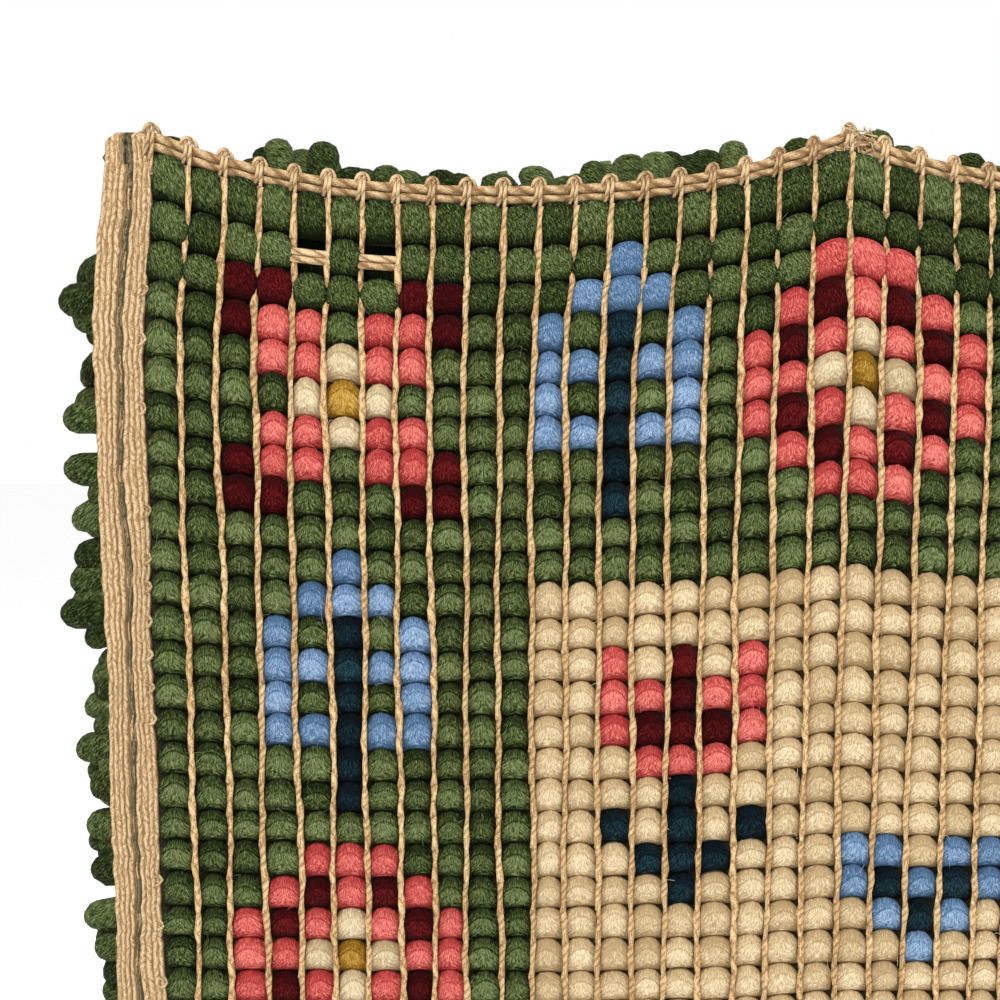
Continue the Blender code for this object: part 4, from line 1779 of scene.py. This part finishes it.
@dataclass
class Pile:
    """The cut pile: two strands of yarn for every knot, fuller locks round the rim, and its core."""

    cloth: HungCloth
    chart: Chart
    root: float = 0.0009
    length: float = 0.0168
    length_spread: float = 0.1
    radius: float = 0.0022
    lean: float = 0.19
    rim_lean: float = 0.7
    rim_reach: float = 1.1
    core_back: float = 0.0019
    core_front: float = 0.0085
    core_lump: float = 0.0012
    lock_radius: float = 0.0033
    lock_root: float = 0.0040
    side_lock: float = 0.0182
    top_lock: float = 0.0104
    bottom_lock: float = 0.0150
    between_share: float = 0.86
    lock_tone: tuple[float, float] = (0.22, 0.5)
    strand_root: float = 0.62
    strand_tip: float = 0.03
    strand_apart: float = 0.22
    strand_jitter: tuple[float, float] = (0.08, 0.15)
    strand_spread: float = 0.18
    droop: float = 0.12
    top_lean: float = 0.7
    sag: float = 0.0012
    bend_spread: float = 0.0013
    radius_spread: float = 0.12
    strand_tone: tuple[float, float] = (0.25, 0.7)
    fibre_turns: float = 12.0
    fibre_twist: float = 9.0
    fibre_length: float = 17.0
    strand_seed: int = 100
    lock_step: float = 0.5
    lock_jitter: float = 0.12
    lock_root_spread: tuple[float, float] = (-0.001, 0.002)
    lock_lean: float = 0.1
    lock_length_spread: float = 0.08
    core_overhang: float = 0.35
    core_tone: float = 0.1

    def model_strand(self, sides: int, rings: tuple) -> Shape:
        """One strand along Z: its ends are one apart and its radius is about one.

        Args:
            sides: Number of its sides.
            rings: Height step, scale and turn of each ring after the root, as a table.

        Returns:
            The strand, open at its root and rounded at its tip.
        """
        bench = Bench()
        bpy.ops.mesh.primitive_circle_add(vertices=sides, radius=self.strand_root, fill_type="NOTHING")
        bench.pick(lambda p: True)
        for step, size, turn in rings:
            bench.draw_out((0.0, 0.0, step), size, turn)
        bpy.ops.mesh.edge_face_add()
        bpy.ops.mesh.poke()
        bench.move(lambda p: p.z > 0.9 and p.x**2 + p.y**2 < 0.01, (0.0, 0.0, self.strand_tip))
        return bench.take()

    def _strands(
        self,
        shape: Shape,
        roots: np.ndarray,
        axis: np.ndarray,
        radius: float,
        rng: np.random.Generator,
    ) -> Copies:
        """Copies a strand onto roots.

        Args:
            shape: The modelled strand.
            roots: Where each strand starts.
            axis: Way and length of each strand.
            radius: Usual radius of a strand.
            rng: The source of the small differences.

        Returns:
            The joined strands, with their maps and tones.
        """
        count = len(roots)
        first = np.cross(axis, np.array([0.05, 0.1, 1.0]))
        first /= np.linalg.norm(first, axis=1, keepdims=True)
        second = np.cross(axis, first)
        second /= np.linalg.norm(second, axis=1, keepdims=True)
        turn = rng.uniform(0.0, 2.0 * np.pi, (count, 1))
        x = shape.points[None, :, 0] * np.cos(turn) - shape.points[None, :, 1] * np.sin(turn)
        y = shape.points[None, :, 0] * np.sin(turn) + shape.points[None, :, 1] * np.cos(turn)
        along = shape.points[None, :, 2]
        thick = radius * (1.0 + rng.uniform(-self.radius_spread, self.radius_spread, (count, 1)))
        bend = rng.normal(0.0, self.bend_spread, (count, 3)) + np.array([0.0, 0.0, -self.sag])
        points = roots[:, None, :] + axis[:, None, :] * along[..., None]
        points = points + bend[:, None, :] * (along**2)[..., None]
        points = points + first[:, None, :] * (thick * x)[..., None]
        points = points + second[:, None, :] * (thick * y)[..., None]
        turns = np.arctan2(shape.points[:, 1], shape.points[:, 0])[None, :] / (2.0 * np.pi)
        shift = rng.uniform(0.0, MAP_SHIFT, (count, 2))
        laid = turns * self.fibre_turns + along * self.fibre_twist + shift[:, :1]
        fibres = np.stack([laid, along * self.fibre_length + shift[:, 1:]], axis=-1)
        corners, sizes = shape.copied(count)
        return Copies(
            points=points.reshape(-1, 3),
            corners=corners,
            sizes=sizes,
            maps={"fibres": fibres.reshape(-1, 2), "cell": 0.0 * fibres.reshape(-1, 2)},
            values={
                "tone": np.repeat(rng.uniform(*self.strand_tone, count), len(shape.points)),
                "crease": np.zeros(count * len(shape.points)),
            },
            wraps={"fibres": self.fibre_turns},
        )

    def stamp(self, shape: Shape, columns: np.ndarray, rows: np.ndarray, seed: int) -> Copies:
        """Copies the strand to the knots of one yarn, two to a knot.

        Args:
            shape: The modelled strand.
            columns: Columns of the knots.
            rows: Rows of the knots.
            seed: Seed of the small differences.

        Returns:
            The joined strands.
        """
        rng = np.random.default_rng(seed)
        columns = np.repeat(columns, 2)
        rows = np.repeat(rows, 2)
        count = len(columns)
        aside = np.tile([-self.strand_apart, self.strand_apart], count // 2)
        jitter_x, jitter_z = self.strand_jitter
        at_column = columns + 0.5 + aside + rng.uniform(-jitter_x, jitter_x, count)
        at_row = rows + 0.5 + rng.uniform(-jitter_z, jitter_z, count)
        roots = self.cloth.place(at_column, at_row, np.full(count, self.root))
        lean_x = rng.normal(0.0, self.lean, count) + self.strand_spread * np.sign(aside)
        lean_z = rng.normal(-self.droop, self.lean, count)
        left = np.exp(-columns / self.rim_reach)
        right = np.exp(-(self.cloth.columns - 1 - columns) / self.rim_reach)
        top = np.exp(-rows / self.rim_reach)
        bottom = np.exp(-(self.cloth.rows - 1 - rows) / self.rim_reach)
        lean_x += self.rim_lean * (right - left)
        lean_z += self.rim_lean * (self.top_lean * top - bottom)
        axis = np.stack([lean_x, np.ones(count), lean_z], axis=-1)
        axis /= np.linalg.norm(axis, axis=1, keepdims=True)
        length = self.length * (1.0 + rng.uniform(-self.length_spread, self.length_spread, (count, 1)))
        return self._strands(shape, roots, axis * length, self.radius, rng)

    def rim_locks(self, shape: Shape) -> Copies:
        """The fuller locks that stand out all round the rim, about two for each edge knot.

        Args:
            shape: The modelled lock.

        Returns:
            The joined locks.
        """
        rng = np.random.default_rng(SEED)
        width, height = self.cloth.columns, self.cloth.rows
        across = np.arange(self.lock_step / 2.0, width, self.lock_step)
        down = np.arange(self.lock_step / 2.0, height, self.lock_step)
        upper = self.top_lock * np.interp(np.minimum(across, width - across), *zip(*TOP_LOCKS))
        beside = np.interp(down, *zip(*SIDE_LOCKS)) * np.tile([1.0, self.between_share], height)
        beside = self.side_lock * beside
        lower = self.bottom_lock * np.ones(len(across))
        sides = (
            (np.full(len(down), 0.1), down, (-1.0, 0.0), beside, 0.4),
            (np.full(len(down), width - 0.1), down, (1.0, 0.0), beside, 0.4),
            (across, np.full(len(across), 0.2), (0.0, 1.0), upper, 0.5),
            (across, np.full(len(across), height - 0.2), (0.0, -1.0), lower, 0.5),
        )
        locks = []
        for columns, rows, outwards, reach, depth in sides:
            count = len(columns)
            columns = columns + rng.uniform(-self.lock_jitter, self.lock_jitter, count)
            rows = rows + rng.uniform(-self.lock_jitter, self.lock_jitter, count)
            deep = self.lock_root + rng.uniform(*self.lock_root_spread, count)
            roots = self.cloth.place(columns, rows, deep)
            spread = rng.normal(0.0, self.lock_lean, (count, 3))
            sideways = np.array([1.0 - abs(outwards[0]), 1.0, 1.0 - abs(outwards[1])])
            axis = np.array([outwards[0], depth, outwards[1]]) + spread * sideways
            axis /= np.linalg.norm(axis, axis=1, keepdims=True)
            uneven = rng.uniform(-self.lock_length_spread, self.lock_length_spread, (count, 1))
            length = reach[:, None] * (1.0 + uneven)
            lock = self._strands(shape, roots, axis * length, self.lock_radius, rng)
            lock.values["tone"] = np.repeat(rng.uniform(*self.lock_tone, count), len(shape.points))
            locks.append(lock)
        return joined(locks)

    def build_core(self, materials: dict[Yarn, bpy.types.Material]) -> bpy.types.Object:
        """Builds the felted core of the pile, a lumpy slab that the strands stand out of.

        Args:
            materials: The finish of each yarn.

        Returns:
            The piece.
        """
        rng = np.random.default_rng(SEED)
        width, height = self.cloth.columns, self.cloth.rows
        columns = np.linspace(0.0, width, width + 1)[None, :]
        rows = np.linspace(-self.core_overhang, height + self.core_overhang, height + 1)[:, None]
        lump = rng.uniform(-1.0, 1.0, (height + 1, width + 1)) * self.core_lump
        front = self.cloth.place(columns, rows, self.core_front + lump).reshape(-1, 3)
        back = self.cloth.place(columns, rows, self.core_back + 0.0 * lump).reshape(-1, 3)
        line, layer = width + 1, len(front)
        i, j = np.meshgrid(np.arange(height), np.arange(width), indexing="ij")
        a = (i * line + j).ravel()
        outer = np.stack([a, a + 1, a + line + 1, a + line], axis=-1)
        inner = layer + np.stack([a, a + line, a + line + 1, a + 1], axis=-1)
        across, down = np.arange(width), np.arange(height) * line
        rim = [(across, across + 1), (height * line + across + 1, height * line + across)]
        rim += [(down + line, down), (down + width, down + width + line)]
        walls = [np.stack([end, start, layer + start, layer + end], axis=-1) for start, end in rim]
        quads = np.concatenate([outer, inner, *walls])
        points = np.concatenate([front, back])
        fibres = points[:, [0, 2]] * MM_PER_M
        copies = Copies(
            points=points,
            corners=quads.ravel(),
            sizes=np.full(len(quads), 4),
            maps={"fibres": fibres, "cell": 0.0 * fibres},
            values={"tone": np.full(len(points), self.core_tone), "crease": np.zeros(len(points))},
        )
        piece = copies.piece("pile_core", materials[Yarn.MOSS], "pile_wool")
        yarns = list(Yarn)
        for yarn in yarns[1:]:
            piece.data.materials.append(materials[yarn])
        letters = self.chart.letters().ravel()
        number = {yarn.value: place for place, yarn in enumerate(yarns)}
        faces = np.array([number.get(letter, 0) for letter in letters], dtype=np.int32)
        slots = np.zeros(len(quads), dtype=np.int32)
        slots[: len(faces)] = faces
        slots[len(faces) : 2 * len(faces)] = faces
        piece.data.polygons.foreach_set("material_index", slots)
        piece.data.update()
        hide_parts("pile")
        return piece

    def build(self, materials: dict[Yarn, bpy.types.Material]) -> list[bpy.types.Object]:
        """Builds the pile: its core, a piece of strands for each yarn, and the locks of the rim.

        Args:
            materials: The finish of each yarn.

        Returns:
            The pieces.
        """
        strand = self.model_strand(5, STRAND_RINGS)
        lock = self.model_strand(9, LOCK_RINGS)
        pieces = [self.build_core(materials)]
        for number, yarn in enumerate(Yarn):
            columns, rows = self.chart.cells(yarn)
            copies = self.stamp(strand, columns, rows, self.strand_seed + number)
            piece = copies.piece(f"pile_{yarn.name.lower()}", materials[yarn], "pile_wool")
            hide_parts("pile")
            pieces.append(piece)
        locks = self.rim_locks(lock).piece("pile_rim_locks", materials[Yarn.MOSS], "pile_wool")
        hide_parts("pile")
        return [*pieces, locks]


# The lights: name, place, what it looks at, size in metres and power in watts
LIGHTS = (
    ("key", (-0.35, -0.8, 1.1), (-0.1, 0.0, -0.15), 0.5, 17.0),
    ("fill", (0.9, -1.1, 0.1), (0.0, 0.0, -0.2), 1.2, 3.0),
    ("back", (0.3, 1.2, 0.8), (0.0, 0.0, -0.2), 1.0, 12.0),
)
WHITE = (1.0, 1.0, 1.0, 1.0)


@dataclass
class Studio:
    """A plain pale floor, soft lights and the camera at the photograph's angle."""

    focal_pixels: float = 1800.0
    sensor: float = 36.0
    frame_pixels: float = 1000.0
    eye: tuple[float, float, float] = (-0.1503, -0.3476, -0.0055)
    pitch_down: float = 8.69
    yaw_right: float = 2.52
    roll: float = -0.21
    floor: float = -0.62
    floor_size: float = 8.0
    floor_tone: tuple[float, float, float, float] = (0.93, 0.93, 0.93, 1.0)
    floor_roughness: float = 0.9
    floor_glow: float = 0.56
    ambient: float = 0.42

    def add_camera(self) -> None:
        """Adds the camera and makes it the scene's own."""
        camera = bpy.data.cameras.new("photo_camera")
        camera.sensor_width = self.sensor
        camera.lens = self.focal_pixels / self.frame_pixels * self.sensor
        camera.clip_start = 0.01
        eye = bpy.data.objects.new("photo_camera", camera)
        eye.location = self.eye
        turn = Euler((math.radians(90.0 - self.pitch_down), 0.0, math.radians(-self.yaw_right)), "XYZ")
        roll = Euler((0.0, 0.0, math.radians(self.roll)))
        eye.rotation_euler = (turn.to_matrix() @ roll.to_matrix()).to_euler()
        bpy.context.scene.collection.objects.link(eye)
        bpy.context.scene.camera = eye

    def add_light(self, name: str, place: tuple, target: tuple, size: float, power: float) -> None:
        """Adds one soft square light.

        Args:
            name: Its name.
            place: Where it stands.
            target: What it looks at.
            size: Its width.
            power: Its power in watts.
        """
        light = bpy.data.lights.new(name, "AREA")
        light.size = size
        light.energy = power
        lamp = bpy.data.objects.new(name, light)
        lamp.location = place
        lamp.rotation_euler = (Vector(target) - Vector(place)).to_track_quat("-Z", "Y").to_euler()
        bpy.context.scene.collection.objects.link(lamp)

    def add_floor(self) -> None:
        """Adds the pale floor under the hanging."""
        bpy.ops.object.select_all(action="DESELECT")
        bpy.ops.mesh.primitive_plane_add(size=self.floor_size, location=(0.0, 0.0, self.floor))
        ground = bpy.context.view_layer.objects.active
        ground.name = "floor"
        bpy.ops.object.transform_apply(location=True, rotation=True, scale=True)
        material = bpy.data.materials.new("pale_floor")
        material.use_nodes = True
        shader = material.node_tree.nodes["Principled BSDF"]
        shader.inputs["Base Color"].default_value = self.floor_tone
        shader.inputs["Roughness"].default_value = self.floor_roughness
        shader.inputs["Emission Color"].default_value = WHITE
        shader.inputs["Emission Strength"].default_value = self.floor_glow
        ground.data.materials.append(material)

    def build(self) -> None:
        """Builds the studio."""
        self.add_camera()
        self.add_floor()
        for light in LIGHTS:
            self.add_light(*light)
        world = bpy.data.worlds.new("studio_air")
        world.use_nodes = True
        nodes = Nodes(world.node_tree)
        air = world.node_tree.nodes["Background"]
        air.inputs["Color"].default_value = WHITE
        air.inputs["Strength"].default_value = self.ambient
        seen = nodes.add("ShaderNodeBackground")
        seen.inputs["Color"].default_value = WHITE
        path = nodes.add("ShaderNodeLightPath")
        either = nodes.add("ShaderNodeMixShader")
        nodes.join(path.outputs["Is Camera Ray"], either.inputs[0])
        nodes.join(air.outputs[0], either.inputs[1])
        nodes.join(seen.outputs[0], either.inputs[2])
        nodes.join(either.outputs[0], world.node_tree.nodes["World Output"].inputs["Surface"])
        bpy.context.scene.world = world
        bpy.context.scene.view_settings.view_transform = "Standard"


def main() -> None:
    """Builds the hanging, piece by piece, and its studio."""
    logging.basicConfig(level=logging.INFO)
    cloth = HungCloth()
    chart = Chart(cloth)
    Studio().build()
    wools = {yarn: finish.material() for yarn, finish in WOOLS.items()}
    cotton = COTTON.material()
    knots = KnottedSide(cloth, chart).build(wools)
    warps = WarpThreads(cloth).build(WARP_COTTON.material())
    groove = GROOVE_SHADE.material()
    edges = [Selvedge(cloth, side).build(BAND_COTTON.material(), groove) for side in (-1, 1)]
    headings = [Heading(cloth, outward).build(cotton) for outward in (1, -1)]
    wefts = OpenCells(cloth, chart.missing).build(cotton)
    loose = LooseThreads(cloth).build(cotton)
    # The canvas ground wears the dark material of painted shade
    ground = CanvasGround(cloth, chart.missing).build(groove)
    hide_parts("canvas")
    pile = Pile(cloth, chart).build(wools)


if __name__ == "__main__":
    main()
